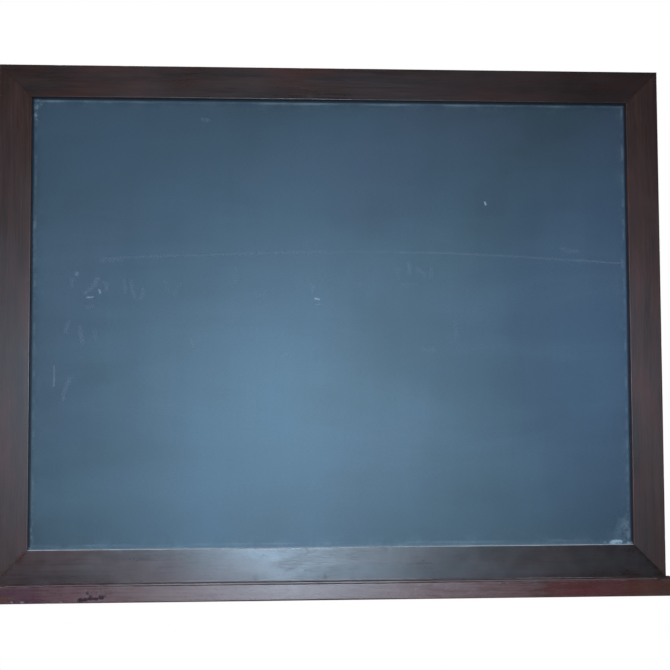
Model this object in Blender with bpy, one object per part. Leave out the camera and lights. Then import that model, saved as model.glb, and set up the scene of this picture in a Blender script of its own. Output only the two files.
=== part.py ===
"""A framed wall chalkboard: a writing panel in a mitred, rabbeted wooden frame with a chalk ledge below.

The wall is the plane y = 0 and the board faces -Y. The origin lies on the wall face of the wall bar,
in the middle of its length and of its flat's height. The board hangs on that bar and lifts off it.
"""

import math

import bmesh
import bpy

MM = 0.001

# Clearances
TOUCH_GAP = 0.3 * MM
MERGE_DISTANCE = 0.001 * MM
CUT_OVERRUN = 2.0 * MM

# Writing panel: an enamelled sheet, a fibreboard core and a balancing sheet behind it
PANEL_WIDTH = 1219.0 * MM
PANEL_HEIGHT = 914.0 * MM
SHEET_THICKNESS = 0.8 * MM
CORE_THICKNESS = 6.8 * MM
BACKING_THICKNESS = 0.5 * MM

# Frame members
MEMBER_WIDTH = 65.0 * MM
LIP_DEPTH = 10.0 * MM
PANEL_COVER = 9.5 * MM
PANEL_SIDE_CLEARANCE = 0.9 * MM
ARRIS_RADIUS = 1.8 * MM
BACK_CHAMFER = 0.8 * MM

# Splines that key the mitres
SPLINE_LENGTH = 56.0 * MM
SPLINE_WIDTH = 22.0 * MM
SPLINE_THICKNESS = 4.0 * MM
SPLINE_INSET = 27.0 * MM

# Chalk ledge
LEDGE_HEIGHT = 32.0 * MM
LEDGE_PROJECTION = 50.0 * MM
LEDGE_OVERHANG = 12.0 * MM
LEDGE_TOP_RADIUS = 2.0 * MM
LEDGE_FOOT_CHAMFER = 1.5 * MM
GROOVE_RADIUS = 8.5 * MM
GROOVE_SETBACK = 21.0 * MM
GROOVE_END_MARGIN = 34.0 * MM
COUNTERBORE_RADIUS = 5.6 * MM
COUNTERBORE_DEPTH = 11.0 * MM

# Hanging bars: two like profiles that hook into each other
BAR_THICKNESS = 2.5 * MM
BAR_LENGTH = 760.0 * MM
BAR_FLAT_HEIGHT = 20.0 * MM
TONGUE_HEIGHT = 12.0 * MM
BAR_SETBACK = 8.0 * MM
WALL_HOLE_RADIUS = 2.6 * MM

# Flat corner plates
PLATE_LEG_LENGTH = 80.0 * MM
PLATE_LEG_WIDTH = 16.0 * MM
PLATE_THICKNESS = 1.5 * MM
PLATE_SETBACK = 12.0 * MM
PLATE_CORNER_RADIUS = 3.0 * MM

# Turn buttons
BUTTON_REACH = 25.0 * MM
BUTTON_TAIL = 9.0 * MM
BUTTON_WIDTH = 14.0 * MM
BUTTON_THICKNESS = 1.5 * MM
BUTTON_CORNER_RADIUS = 4.0 * MM
BUTTON_EDGE_DISTANCE = 13.0 * MM

# Wood screws
PAN_HEAD_RADIUS = 3.8 * MM
PAN_HEAD_HEIGHT = 1.7 * MM
PAN_SHANK_RADIUS = 1.75 * MM
PAN_SHANK_LENGTH = 14.0 * MM
BAR_SCREW_HEAD_RADIUS = 4.0 * MM
BAR_SCREW_SHANK_RADIUS = 2.0 * MM
BAR_SCREW_SHANK_LENGTH = 16.0 * MM
LEDGE_SCREW_HEAD_RADIUS = 4.6 * MM
LEDGE_SCREW_HEAD_HEIGHT = 2.6 * MM
LEDGE_SCREW_SHANK_RADIUS = 2.4 * MM
LEDGE_SCREW_GRIP = 30.0 * MM
SCREW_TIP_LENGTH = 4.0 * MM
RECESS_SPAN = 3.6 * MM
RECESS_WIDTH = 0.9 * MM
RECESS_DEPTH = 1.1 * MM

# Wall bumpers
BUMPER_RADIUS = 9.0 * MM
BUMPER_EDGE_RADIUS = 1.6 * MM

# Places along the members, as shares of their length or of the half opening
PLATE_SCREW_SHARES = (0.45, 0.86)
BAR_SCREW_SHARES = (-0.43, -0.15, 0.15, 0.43)
WALL_HOLE_SHARES = (-0.38, -0.10, 0.10, 0.38)
LEDGE_SCREW_SHARES = (-0.40, -0.14, 0.14, 0.40)
TOP_BUTTON_SHARES = (-0.40, 0.40)
BOTTOM_BUTTON_SHARES = (-0.22, 0.22)
BUMPER_SHARES = (-0.45, 0.45)

# Roundness
ARC_STEPS = 4
DOME_STEPS = 2
TURNED_STEPS = 12
GROOVE_STEPS = 24
LENS_STEPS = 6
SHARP_ANGLE = math.radians(32.0)
QUARTER = math.radians(90.0)
EIGHTH = math.radians(45.0)
FULL_TURN = math.radians(360.0)

# Corners of the frame: name, side, end, turn, and the members that meet there in the turn's order
CORNERS = (
    ("top_left", -1, 1, 0, "top_rail", "left_stile"),
    ("top_right", 1, 1, QUARTER, "right_stile", "top_rail"),
    ("bottom_right", 1, -1, 2 * QUARTER, "bottom_rail", "right_stile"),
    ("bottom_left", -1, -1, -QUARTER, "left_stile", "bottom_rail"),
)

# Sizes that follow from the ones above
OPENING_WIDTH = PANEL_WIDTH - 2 * PANEL_COVER
OPENING_HEIGHT = PANEL_HEIGHT - 2 * PANEL_COVER
RABBET_WIDTH = PANEL_COVER + PANEL_SIDE_CLEARANCE
RABBET_DEPTH = SHEET_THICKNESS + CORE_THICKNESS + BACKING_THICKNESS + 3 * TOUCH_GAP
FRAME_THICKNESS = LIP_DEPTH + RABBET_DEPTH
FRAME_WIDTH = OPENING_WIDTH + 2 * MEMBER_WIDTH
FRAME_HEIGHT = OPENING_HEIGHT + 2 * MEMBER_WIDTH
RABBET_EDGE = MEMBER_WIDTH - RABBET_WIDTH
WALL_GAP = 2 * BAR_THICKNESS + 2 * TOUCH_GAP
FRAME_BACK_Y = -WALL_GAP
FRAME_FRONT_Y = FRAME_BACK_Y - FRAME_THICKNESS
LEDGE_FRONT_Y = FRAME_FRONT_Y - LEDGE_PROJECTION
HANGER_WEB_Z = BAR_FLAT_HEIGHT / 2 + TONGUE_HEIGHT + TOUCH_GAP
HANGER_TOP_Z = HANGER_WEB_Z + BAR_FLAT_HEIGHT
FRAME_TOP_Z = HANGER_TOP_Z + BAR_SETBACK
FRAME_BOTTOM_Z = FRAME_TOP_Z - FRAME_HEIGHT
FRAME_CENTRE_Z = FRAME_TOP_Z - FRAME_HEIGHT / 2
LEDGE_TOP_Z = FRAME_BOTTOM_Z - TOUCH_GAP
LEDGE_BOTTOM_Z = LEDGE_TOP_Z - LEDGE_HEIGHT
LEDGE_LENGTH = FRAME_WIDTH + 2 * LEDGE_OVERHANG
FRAME_MIDDLE_Y = FRAME_BACK_Y - FRAME_THICKNESS / 2
LEDGE_SCREW_SHANK_LENGTH = LEDGE_HEIGHT - COUNTERBORE_DEPTH + LEDGE_SCREW_GRIP

# Colour, roughness and metallic value of each material
WOOD_LOOK = ((0.045, 0.026, 0.024, 1.0), 0.42, 0.0)
LEDGE_LOOK = ((0.075, 0.036, 0.036, 1.0), 0.40, 0.0)
SHEET_LOOK = ((0.065, 0.115, 0.170, 1.0), 0.45, 0.0)
CORE_LOOK = ((0.300, 0.190, 0.110, 1.0), 0.85, 0.0)
BACKING_LOOK = ((0.480, 0.490, 0.500, 1.0), 0.45, 1.0)
SPLINE_LOOK = ((0.520, 0.360, 0.210, 1.0), 0.75, 0.0)
STEEL_LOOK = ((0.560, 0.560, 0.540, 1.0), 0.35, 1.0)
BAR_LOOK = ((0.640, 0.650, 0.660, 1.0), 0.38, 1.0)
RUBBER_LOOK = ((0.030, 0.030, 0.032, 1.0), 0.80, 0.0)


def clear_scene():
    for old in list(bpy.data.objects):
        bpy.data.objects.remove(old, do_unlink=True)


def make_material(name, look):
    colour, roughness, metallic = look
    material = bpy.data.materials.new(name)
    material.use_nodes = True
    shader = material.node_tree.nodes["Principled BSDF"]
    shader.inputs["Base Color"].default_value = colour
    shader.inputs["Roughness"].default_value = roughness
    shader.inputs["Metallic"].default_value = metallic
    material.diffuse_color = colour
    return material


def finish_mesh(name, shape):
    """Merge doubled points, turn the faces outwards and shade the round parts smooth."""
    bmesh.ops.remove_doubles(shape, verts=shape.verts, dist=MERGE_DISTANCE)
    bmesh.ops.recalc_face_normals(shape, faces=shape.faces)
    mesh = bpy.data.meshes.new(name)
    shape.to_mesh(mesh)
    shape.free()
    mesh.shade_smooth()
    mesh.set_sharp_from_angle(angle=SHARP_ANGLE)
    return mesh


def add_piece(name, mesh, look, location=(0, 0, 0), rotation=(0, 0, 0)):
    piece = bpy.data.objects.new(name, mesh)
    piece.location = location
    piece.rotation_euler = rotation
    bpy.context.scene.collection.objects.link(piece)
    if not mesh.materials:
        mesh.materials.append(make_material(name, look))
    return piece


def add_cutter(owner, mesh, location=(0, 0, 0), rotation=(0, 0, 0)):
    """Place a cutting shape and let the owner be cut by it, together with the owner's other cutters."""
    cutter = bpy.data.objects.new("cut_" + owner.name, mesh)
    cutter.location = location
    cutter.rotation_euler = rotation
    cutter.hide_render = True
    cutter.display_type = "WIRE"
    cut = owner.modifiers.get("cuts")
    if cut is None:
        cut = owner.modifiers.new("cuts", "BOOLEAN")
        cut.operation = "DIFFERENCE"
        cut.solver = "EXACT"
        cut.operand_type = "COLLECTION"
        cut.collection = bpy.data.collections.new("cuts_" + owner.name)
        bpy.context.scene.collection.children.link(cut.collection)
    cut.collection.objects.link(cutter)
    return cutter


def arc(centre, radius, start, end, steps=ARC_STEPS):
    points = []
    for step in range(steps + 1):
        angle = start + (end - start) * step / steps
        points.append((centre[0] + radius * math.cos(angle), centre[1] + radius * math.sin(angle)))
    return points


def draw_out(shape, face):
    """Extrude a face and give the points of its far end, still in their old place."""
    drawn = bmesh.ops.extrude_face_region(shape, geom=[face], use_keep_orig=True)
    return [item for item in drawn["geom"] if isinstance(item, bmesh.types.BMVert)]


def bar(name, outline, half_length):
    """A section drawn out along X; the outline's points are (depth, height)."""
    shape = bmesh.new()
    face = shape.faces.new([shape.verts.new((-half_length, depth, height)) for depth, height in outline])
    bmesh.ops.translate(shape, verts=draw_out(shape, face), vec=(2 * half_length, 0, 0))
    return finish_mesh(name, shape)


def plate(name, outline, low, high):
    """A flat outline in X and Z drawn out along Y."""
    shape = bmesh.new()
    face = shape.faces.new([shape.verts.new((across, low, up)) for across, up in outline])
    bmesh.ops.translate(shape, verts=draw_out(shape, face), vec=(0, high - low, 0))
    return finish_mesh(name, shape)


def rounded_slab(name, outline, radius, kept, low, high):
    """A plate in the XZ plane whose corners, but for the kept ones, are rounded, and then extruded in Y."""
    shape = bmesh.new()
    verts = [shape.verts.new((across, low, up)) for across, up in outline]
    shape.faces.new(verts)
    rounded = [vert for index, vert in enumerate(verts) if index not in kept]
    bmesh.ops.bevel(
        shape,
        geom=rounded,
        offset=radius,
        offset_type="OFFSET",
        affect="VERTICES",
        segments=ARC_STEPS,
        profile=0.5,
        material=-1,
    )
    face = shape.faces[:][0]
    bmesh.ops.translate(shape, verts=draw_out(shape, face), vec=(0, high - low, 0))
    return finish_mesh(name, shape)


def turned(name, profile, steps=TURNED_STEPS):
    """A body turned round Z from (radius, height) points that start and end on the axis."""
    shape = bmesh.new()
    verts = [shape.verts.new((radius, 0, height)) for radius, height in profile]
    edges = [shape.edges.new(pair) for pair in zip(verts, verts[1:])]
    bmesh.ops.spin(
        shape,
        geom=verts + edges,
        cent=(0, 0, 0),
        axis=(0, 0, 1),
        angle=FULL_TURN,
        steps=steps,
        use_merge=True,
    )
    return finish_mesh(name, shape)


def rod(name, radius, low, high):
    return turned(name, [(0, low), (radius, low), (radius, high), (0, high)])


def baked(name, mesh, cutter_mesh, location):
    """The mesh with one cut already made, so that all copies can share it."""
    blank = bpy.data.objects.new(name + "_blank", mesh)
    bpy.context.scene.collection.objects.link(blank)
    cutter = add_cutter(blank, cutter_mesh, location)
    bpy.context.view_layer.update()
    graph = bpy.context.evaluated_depsgraph_get()
    cut_mesh = bpy.data.meshes.new_from_object(blank.evaluated_get(graph))
    cut_mesh.name = name
    bpy.data.objects.remove(blank, do_unlink=True)
    bpy.data.objects.remove(cutter, do_unlink=True)
    return cut_mesh


def cross_cutter(head_top):
    """The tapered cross that a driver bit fits, reaching down from the head's top."""
    shape = bmesh.new()
    edges = []
    for level, taper in ((head_top - RECESS_DEPTH, RECESS_WIDTH), (head_top + CUT_OVERRUN, RECESS_SPAN)):
        reach = taper / 2 + RECESS_WIDTH / 2
        half = RECESS_WIDTH / 2
        ring = []
        for quarter in range(4):
            turn = quarter * QUARTER
            for along, across in ((half, -half), (reach, -half), (reach, half)):
                x = along * math.cos(turn) - across * math.sin(turn)
                y = along * math.sin(turn) + across * math.cos(turn)
                ring.append(shape.verts.new((x, y, level)))
        edges += [shape.edges.new((ring[index - 1], vert)) for index, vert in enumerate(ring)]
    bmesh.ops.bridge_loops(shape, edges=edges)
    bmesh.ops.holes_fill(shape, edges=edges, sides=0)
    return finish_mesh("cross", shape)


def pan_screw_mesh(name, head_radius, head_height, shank_radius, shank_length):
    """A screw with a domed head whose seat is at z = 0 and whose shank runs down to a point."""
    dome = []
    for step in range(DOME_STEPS + 1):
        angle = QUARTER * step / DOME_STEPS
        radius = head_radius * math.cos(angle)
        height = head_height / 2 * (1 + math.sin(angle))
        dome.append((radius, height))
    profile = [(0, -shank_length)]
    profile.append((shank_radius, -shank_length + SCREW_TIP_LENGTH))
    profile.append((shank_radius, 0))
    profile.append((head_radius, 0))
    profile.extend(dome[:-1])
    profile.append((0, head_height))
    return baked(name, turned(name, profile), cross_cutter(head_height), (0, 0, 0))


def flush_screw_mesh(name, head_radius, shank_radius, shank_length):
    """A countersunk screw whose head is flush at z = 0."""
    cone = head_radius - shank_radius
    profile = [(0, -shank_length)]
    profile.append((shank_radius, -shank_length + SCREW_TIP_LENGTH))
    profile.append((shank_radius, -cone))
    profile.append((head_radius, -TOUCH_GAP))
    profile.append((head_radius, 0))
    profile.append((0, 0))
    return baked(name, turned(name, profile), cross_cutter(0), (0, 0, 0))


def flush_hole_mesh(name, head_radius, shank_radius, depth):
    """The countersunk hole that clears a flush screw; z = 0 is the surface it goes in at."""
    cone = head_radius - shank_radius
    profile = [(0, -depth)]
    profile.append((shank_radius + TOUCH_GAP, -depth))
    profile.append((shank_radius + TOUCH_GAP, -cone - TOUCH_GAP))
    profile.append((head_radius + TOUCH_GAP, -TOUCH_GAP))
    profile.append((head_radius + TOUCH_GAP, CUT_OVERRUN))
    profile.append((0, CUT_OVERRUN))
    return turned(name, profile)


def member_profile():
    """The frame's section: across from the outer edge, depth from the back (0) to the front (negative)."""
    front = -FRAME_THICKNESS
    outline = [(0, -BACK_CHAMFER)]
    outline += arc((ARRIS_RADIUS, front + ARRIS_RADIUS), ARRIS_RADIUS, 2 * QUARTER, 3 * QUARTER)
    outline += arc((MEMBER_WIDTH - ARRIS_RADIUS, front + ARRIS_RADIUS), ARRIS_RADIUS, -QUARTER, 0)
    outline += [(MEMBER_WIDTH, front + LIP_DEPTH), (RABBET_EDGE, front + LIP_DEPTH)]
    outline += [(RABBET_EDGE, 0), (BACK_CHAMFER, 0)]
    return outline


def member_mesh(name, outer_length):
    """A member cut to 45 degrees at both ends, with its outer edge on z = 0 and its inside at -z."""
    half = outer_length / 2 - TOUCH_GAP
    shape = bmesh.new()
    face = shape.faces.new(
        [shape.verts.new((across - half, depth, -across)) for across, depth in member_profile()]
    )
    bmesh.ops.scale(shape, verts=draw_out(shape, face), vec=(-1, 1, 1))
    return finish_mesh(name, shape)


def spline_outline(extra):
    """A lens, pointed at both ends, grown by a clearance."""
    half_length = SPLINE_LENGTH / 2 + extra
    rise = SPLINE_WIDTH / 2 + extra
    radius = (half_length * half_length + rise * rise) / (2 * rise)
    spread = math.asin(half_length / radius)
    outline = arc((0, rise - radius), radius, QUARTER - spread, QUARTER + spread, LENS_STEPS)
    outline += arc((0, radius - rise), radius, 3 * QUARTER - spread, 3 * QUARTER + spread, LENS_STEPS)[1:-1]
    return outline


def spline_mesh(name, extra):
    half = SPLINE_THICKNESS / 2 + extra
    return plate(name, spline_outline(extra), -half, half)


def hook_profile():
    """The section of both hanging bars, upright: flat, web and tongue, with the wall at depth 0."""
    inner = -BAR_THICKNESS
    outer = -BAR_THICKNESS - TOUCH_GAP
    full = -2 * BAR_THICKNESS - TOUCH_GAP
    base = -BAR_FLAT_HEIGHT / 2
    web = BAR_FLAT_HEIGHT / 2
    return [
        (0, base),
        (inner, base),
        (inner, web - BAR_THICKNESS),
        (full, web - BAR_THICKNESS),
        (full, web + TONGUE_HEIGHT),
        (outer, web + TONGUE_HEIGHT),
        (outer, web),
        (0, web),
    ]


def ledge_mesh(name):
    """The ledge's section drawn along X, with its outer top edge eased and its foot chamfered."""
    back = FRAME_BACK_Y
    front = LEDGE_FRONT_Y
    outline = [(back, LEDGE_BOTTOM_Z), (back, LEDGE_TOP_Z)]
    centre = (front + LEDGE_TOP_RADIUS, LEDGE_TOP_Z - LEDGE_TOP_RADIUS)
    outline += arc(centre, LEDGE_TOP_RADIUS, QUARTER, 2 * QUARTER)
    outline += [(front, LEDGE_BOTTOM_Z + LEDGE_FOOT_CHAMFER), (front + LEDGE_FOOT_CHAMFER, LEDGE_BOTTOM_Z)]
    return bar(name, outline, LEDGE_LENGTH / 2)


def groove_cutter(name):
    """A round-nosed rod along X that leaves the chalk groove."""
    half = LEDGE_LENGTH / 2 - GROOVE_END_MARGIN
    profile = [(0, -half)]
    for step in range(1, ARC_STEPS + 1):
        angle = QUARTER * step / ARC_STEPS
        profile.append((GROOVE_RADIUS * math.sin(angle), -half + GROOVE_RADIUS * (1 - math.cos(angle))))
    for radius, height in reversed(profile[:]):
        profile.append((radius, -height))
    return turned(name, profile, GROOVE_STEPS)


def plate_mesh(name):
    """An L-shaped corner plate, drawn for the top left corner of the frame, whose outer corner is at 0, 0."""
    near = PLATE_SETBACK
    far = PLATE_SETBACK + PLATE_LEG_LENGTH
    inner = PLATE_SETBACK + PLATE_LEG_WIDTH
    outline = [(near, -near), (far, -near), (far, -inner), (inner, -inner), (inner, -far), (near, -far)]
    return rounded_slab(name, outline, PLATE_CORNER_RADIUS, {3}, TOUCH_GAP, TOUCH_GAP + PLATE_THICKNESS)


def plate_screw_places():
    """The plate's four screws, in the plate's own corner."""
    middle = PLATE_SETBACK + PLATE_LEG_WIDTH / 2
    places = []
    for share in PLATE_SCREW_SHARES:
        along = PLATE_SETBACK + PLATE_LEG_LENGTH * share
        places.append(("rail", along, -middle))
        places.append(("stile", middle, -along))
    return places


def button_mesh(name):
    half = BUTTON_WIDTH / 2
    outline = [(-half, BUTTON_TAIL), (half, BUTTON_TAIL), (half, -BUTTON_REACH), (-half, -BUTTON_REACH)]
    low = TOUCH_GAP
    return rounded_slab(name, outline, BUTTON_CORNER_RADIUS, set(), low, low + BUTTON_THICKNESS)


def turn_about_y(x, z, angle):
    return (x * math.cos(angle) + z * math.sin(angle), -x * math.sin(angle) + z * math.cos(angle))


def build_members():
    """The four frame members, each with its outer edge's middle and its turn about Y."""
    half_width = FRAME_WIDTH / 2
    places = (
        ("top_rail", FRAME_WIDTH, (0, FRAME_BACK_Y, FRAME_TOP_Z), 0),
        ("right_stile", FRAME_HEIGHT, (half_width, FRAME_BACK_Y, FRAME_CENTRE_Z), QUARTER),
        ("bottom_rail", FRAME_WIDTH, (0, FRAME_BACK_Y, FRAME_BOTTOM_Z), 2 * QUARTER),
        ("left_stile", FRAME_HEIGHT, (-half_width, FRAME_BACK_Y, FRAME_CENTRE_Z), -QUARTER),
    )
    members = {}
    for name, length, location, turn in places:
        members[name] = add_piece(name, member_mesh(name, length), WOOD_LOOK, location, (0, turn, 0))
    return members


def corner_place(side, end):
    return (side * FRAME_WIDTH / 2, FRAME_CENTRE_Z + end * FRAME_HEIGHT / 2)


def build_splines(members):
    """A lens-shaped spline across each mitre, in a slot cut half into each member."""
    solid = spline_mesh("mitre_spline", 0)
    slot = spline_mesh("spline_slot", TOUCH_GAP)
    for name, side, end, turn, first, second in CORNERS:
        corner_x, corner_z = corner_place(side, end)
        location = (corner_x - side * SPLINE_INSET, FRAME_MIDDLE_Y, corner_z - end * SPLINE_INSET)
        rotation = (0, -side * end * EIGHTH, 0)
        add_piece("mitre_spline_" + name, solid, SPLINE_LOOK, location, rotation)
        for owner in (first, second):
            add_cutter(members[owner], slot, location, rotation)


def build_panel():
    """The sheet, core and backing, stacked in the rabbet from the front."""
    level = FRAME_FRONT_Y + LIP_DEPTH + TOUCH_GAP
    half_width = PANEL_WIDTH / 2
    half_height = PANEL_HEIGHT / 2
    outline = [
        (-half_width, -half_height),
        (half_width, -half_height),
        (half_width, half_height),
        (-half_width, half_height),
    ]
    layers = (
        ("writing_sheet", SHEET_THICKNESS, SHEET_LOOK),
        ("core_board", CORE_THICKNESS, CORE_LOOK),
        ("backing_sheet", BACKING_THICKNESS, BACKING_LOOK),
    )
    for name, thickness, look in layers:
        add_piece(name, plate(name, outline, 0, thickness), look, (0, level, FRAME_CENTRE_Z))
        level += thickness + TOUCH_GAP


def build_ledge(bottom_rail):
    """The ledge with its groove, screwed up into the bottom rail out of deep counterbores."""
    ledge = add_piece("chalk_ledge", ledge_mesh("chalk_ledge"), LEDGE_LOOK)
    groove_y = LEDGE_FRONT_Y + GROOVE_SETBACK
    add_cutter(ledge, groove_cutter("groove"), (0, groove_y, LEDGE_TOP_Z), (0, QUARTER, 0))
    seat_z = LEDGE_BOTTOM_Z + COUNTERBORE_DEPTH
    screw = pan_screw_mesh(
        "ledge_screw",
        LEDGE_SCREW_HEAD_RADIUS,
        LEDGE_SCREW_HEAD_HEIGHT,
        LEDGE_SCREW_SHANK_RADIUS,
        LEDGE_SCREW_SHANK_LENGTH,
    )
    bore = rod("ledge_bore", COUNTERBORE_RADIUS, -CUT_OVERRUN, COUNTERBORE_DEPTH)
    shank = LEDGE_SCREW_SHANK_RADIUS + TOUCH_GAP
    hole = rod("ledge_hole", shank, -CUT_OVERRUN, LEDGE_SCREW_SHANK_LENGTH + TOUCH_GAP)
    for number, share in enumerate(LEDGE_SCREW_SHARES, 1):
        x = FRAME_WIDTH * share
        seat = (x, FRAME_MIDDLE_Y, seat_z - TOUCH_GAP)
        add_piece(f"ledge_screw_{number}", screw, STEEL_LOOK, seat, (2 * QUARTER, 0, 0))
        add_cutter(ledge, bore, (x, FRAME_MIDDLE_Y, LEDGE_BOTTOM_Z))
        add_cutter(ledge, hole, (x, FRAME_MIDDLE_Y, seat_z))
        add_cutter(bottom_rail, hole, (x, FRAME_MIDDLE_Y, seat_z))


def build_back_screw(name, mesh, hole, owners, x, seat, z):
    """One screw driven from the back, with its holes in the pieces that it passes."""
    add_piece(name, mesh, STEEL_LOOK, (x, seat, z), (-QUARTER, 0, 0))
    for owner in owners:
        add_cutter(owner, hole, (x, seat, z), (-QUARTER, 0, 0))


def build_corner_plates(members, screw, hole):
    plate_shape = plate_mesh("corner_plate")
    seat = FRAME_BACK_Y + 2 * TOUCH_GAP + PLATE_THICKNESS
    for name, side, end, turn, rail, stile in CORNERS:
        corner_x, corner_z = corner_place(side, end)
        location = (corner_x, FRAME_BACK_Y, corner_z)
        corner_plate = add_piece("corner_plate_" + name, plate_shape, STEEL_LOOK, location, (0, turn, 0))
        owners = {"rail": members[rail], "stile": members[stile]}
        for number, (leg, across, down) in enumerate(plate_screw_places(), 1):
            x, z = turn_about_y(across, down, turn)
            screw_name = f"plate_screw_{name}_{number}"
            spot = (corner_x + x, seat, corner_z + z)
            build_back_screw(screw_name, screw, hole, (corner_plate, owners[leg]), *spot)


def build_buttons(members, screw, hole):
    """Turn buttons that hold the panel in its rabbet, each turning on its own screw."""
    solid = button_mesh("turn_button")
    seat = FRAME_BACK_Y + 2 * TOUCH_GAP + BUTTON_THICKNESS
    inset = RABBET_EDGE - BUTTON_EDGE_DISTANCE
    places = []
    for side, share in zip(("left", "right"), TOP_BUTTON_SHARES):
        x = OPENING_WIDTH * share
        places.append(("top_" + side, "top_rail", x, FRAME_TOP_Z - inset, 0))
    for side, share in zip(("left", "right"), BOTTOM_BUTTON_SHARES):
        x = OPENING_WIDTH * share
        places.append(("bottom_" + side, "bottom_rail", x, FRAME_BOTTOM_Z + inset, 2 * QUARTER))
    places.append(("side_left", "left_stile", inset - FRAME_WIDTH / 2, FRAME_CENTRE_Z, -QUARTER))
    places.append(("side_right", "right_stile", FRAME_WIDTH / 2 - inset, FRAME_CENTRE_Z, QUARTER))
    for name, owner, x, z, turn in places:
        button = add_piece("turn_button_" + name, solid, STEEL_LOOK, (x, FRAME_BACK_Y, z), (0, turn, 0))
        build_back_screw("button_screw_" + name, screw, hole, (members[owner],), x, seat, z)
        bore = rod("button_bore", PAN_SHANK_RADIUS + TOUCH_GAP, -CUT_OVERRUN, BUTTON_THICKNESS + CUT_OVERRUN)
        add_cutter(button, bore, (x, FRAME_BACK_Y, z), (-QUARTER, 0, 0))


def build_bars(top_rail):
    """The wall bar, and the same profile upside down on the back of the top rail."""
    wall_bar = add_piece("wall_bar", bar("wall_bar", hook_profile(), BAR_LENGTH / 2), BAR_LOOK)
    hanger_z = HANGER_WEB_Z + BAR_FLAT_HEIGHT / 2
    hanger_y = -2 * BAR_THICKNESS - TOUCH_GAP
    flip = (2 * QUARTER, 0, 0)
    hanger_mesh = bar("hanger_bar", hook_profile(), BAR_LENGTH / 2)
    hanger_bar = add_piece("hanger_bar", hanger_mesh, BAR_LOOK, (0, hanger_y, hanger_z), flip)
    screw = flush_screw_mesh(
        "hanger_screw", BAR_SCREW_HEAD_RADIUS, BAR_SCREW_SHANK_RADIUS, BAR_SCREW_SHANK_LENGTH
    )
    hole = flush_hole_mesh(
        "hanger_hole", BAR_SCREW_HEAD_RADIUS, BAR_SCREW_SHANK_RADIUS, BAR_SCREW_SHANK_LENGTH + TOUCH_GAP
    )
    for number, share in enumerate(BAR_SCREW_SHARES, 1):
        spot = (BAR_LENGTH * share, hanger_y + BAR_THICKNESS, hanger_z)
        build_back_screw(f"hanger_screw_{number}", screw, hole, (hanger_bar, top_rail), *spot)
    head = BAR_THICKNESS - TOUCH_GAP
    wall_hole = flush_hole_mesh(
        "wall_hole", WALL_HOLE_RADIUS + head, WALL_HOLE_RADIUS, BAR_THICKNESS + CUT_OVERRUN
    )
    for share in WALL_HOLE_SHARES:
        add_cutter(wall_bar, wall_hole, (BAR_LENGTH * share, -BAR_THICKNESS, 0), (QUARTER, 0, 0))


def build_bumpers():
    """Rubber feet on the ledge's back that keep the hanging board parallel to the wall."""
    depth = WALL_GAP - TOUCH_GAP
    edge_centre = (BUMPER_RADIUS - BUMPER_EDGE_RADIUS, depth - BUMPER_EDGE_RADIUS)
    profile = [(0, 0), (BUMPER_RADIUS, 0)]
    profile += arc(edge_centre, BUMPER_EDGE_RADIUS, 0, QUARTER)
    profile.append((0, depth))
    solid = turned("wall_bumper", profile)
    for side, share in zip(("left", "right"), BUMPER_SHARES):
        place = (FRAME_WIDTH * share, FRAME_BACK_Y + TOUCH_GAP, (LEDGE_TOP_Z + LEDGE_BOTTOM_Z) / 2)
        add_piece("wall_bumper_" + side, solid, RUBBER_LOOK, place, (-QUARTER, 0, 0))


def main():
    clear_scene()
    members = build_members()
    build_splines(members)
    build_panel()
    build_ledge(members["bottom_rail"])
    screw = pan_screw_mesh("pan_screw", PAN_HEAD_RADIUS, PAN_HEAD_HEIGHT, PAN_SHANK_RADIUS, PAN_SHANK_LENGTH)
    hole = rod("pan_hole", PAN_SHANK_RADIUS + TOUCH_GAP, -PAN_SHANK_LENGTH - TOUCH_GAP, CUT_OVERRUN)
    build_corner_plates(members, screw, hole)
    build_buttons(members, screw, hole)
    build_bars(members["top_rail"])
    build_bumpers()


main()
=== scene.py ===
import math
import random

import bmesh
import bpy
from mathutils import Matrix, Vector, noise


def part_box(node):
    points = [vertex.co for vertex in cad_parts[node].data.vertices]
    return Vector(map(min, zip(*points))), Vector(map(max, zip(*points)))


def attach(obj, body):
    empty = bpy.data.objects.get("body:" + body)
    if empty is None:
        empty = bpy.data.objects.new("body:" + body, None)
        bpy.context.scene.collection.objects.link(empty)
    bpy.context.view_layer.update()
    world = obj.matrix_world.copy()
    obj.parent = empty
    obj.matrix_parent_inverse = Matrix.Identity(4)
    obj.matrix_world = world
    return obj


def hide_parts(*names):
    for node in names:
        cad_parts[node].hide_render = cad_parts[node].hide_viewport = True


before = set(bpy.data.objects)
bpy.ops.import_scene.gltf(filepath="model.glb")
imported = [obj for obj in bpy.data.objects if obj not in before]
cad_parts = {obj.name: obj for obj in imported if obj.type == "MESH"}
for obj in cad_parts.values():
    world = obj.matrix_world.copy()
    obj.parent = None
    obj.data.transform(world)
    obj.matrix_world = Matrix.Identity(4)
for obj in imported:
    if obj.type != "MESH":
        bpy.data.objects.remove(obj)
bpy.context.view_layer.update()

MM = 0.001
QUARTER = math.radians(90.0)
FULL_TURN = math.radians(360.0)
SHARP_ANGLE = math.radians(34.0)
MERGE_DISTANCE = 0.002 * MM
NEAR = 0.05 * MM
FLAT_ANGLE = math.radians(1.0)
ALONG_SHARE = 0.999
FLOAT = "NodeSocketFloat"
COLOUR = "NodeSocketColor"
VECTOR = "NodeSocketVector"

# The camera, from the photograph's corners: its place from the middle of the frame's front, and its turns
PHOTO_SIDE = 670
PHOTO_MIDDLE = 335
FOCAL_PIXELS = 1361.5
CAMERA_FROM_MIDDLE = (-174.7 * MM, -2705.4 * MM, -193.8 * MM)
CAMERA_PITCH = math.radians(3.515)
CAMERA_YAW = math.radians(-3.729)
CAMERA_ROLL = math.radians(-0.239)
SENSOR_WIDTH = 36.0

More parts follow.
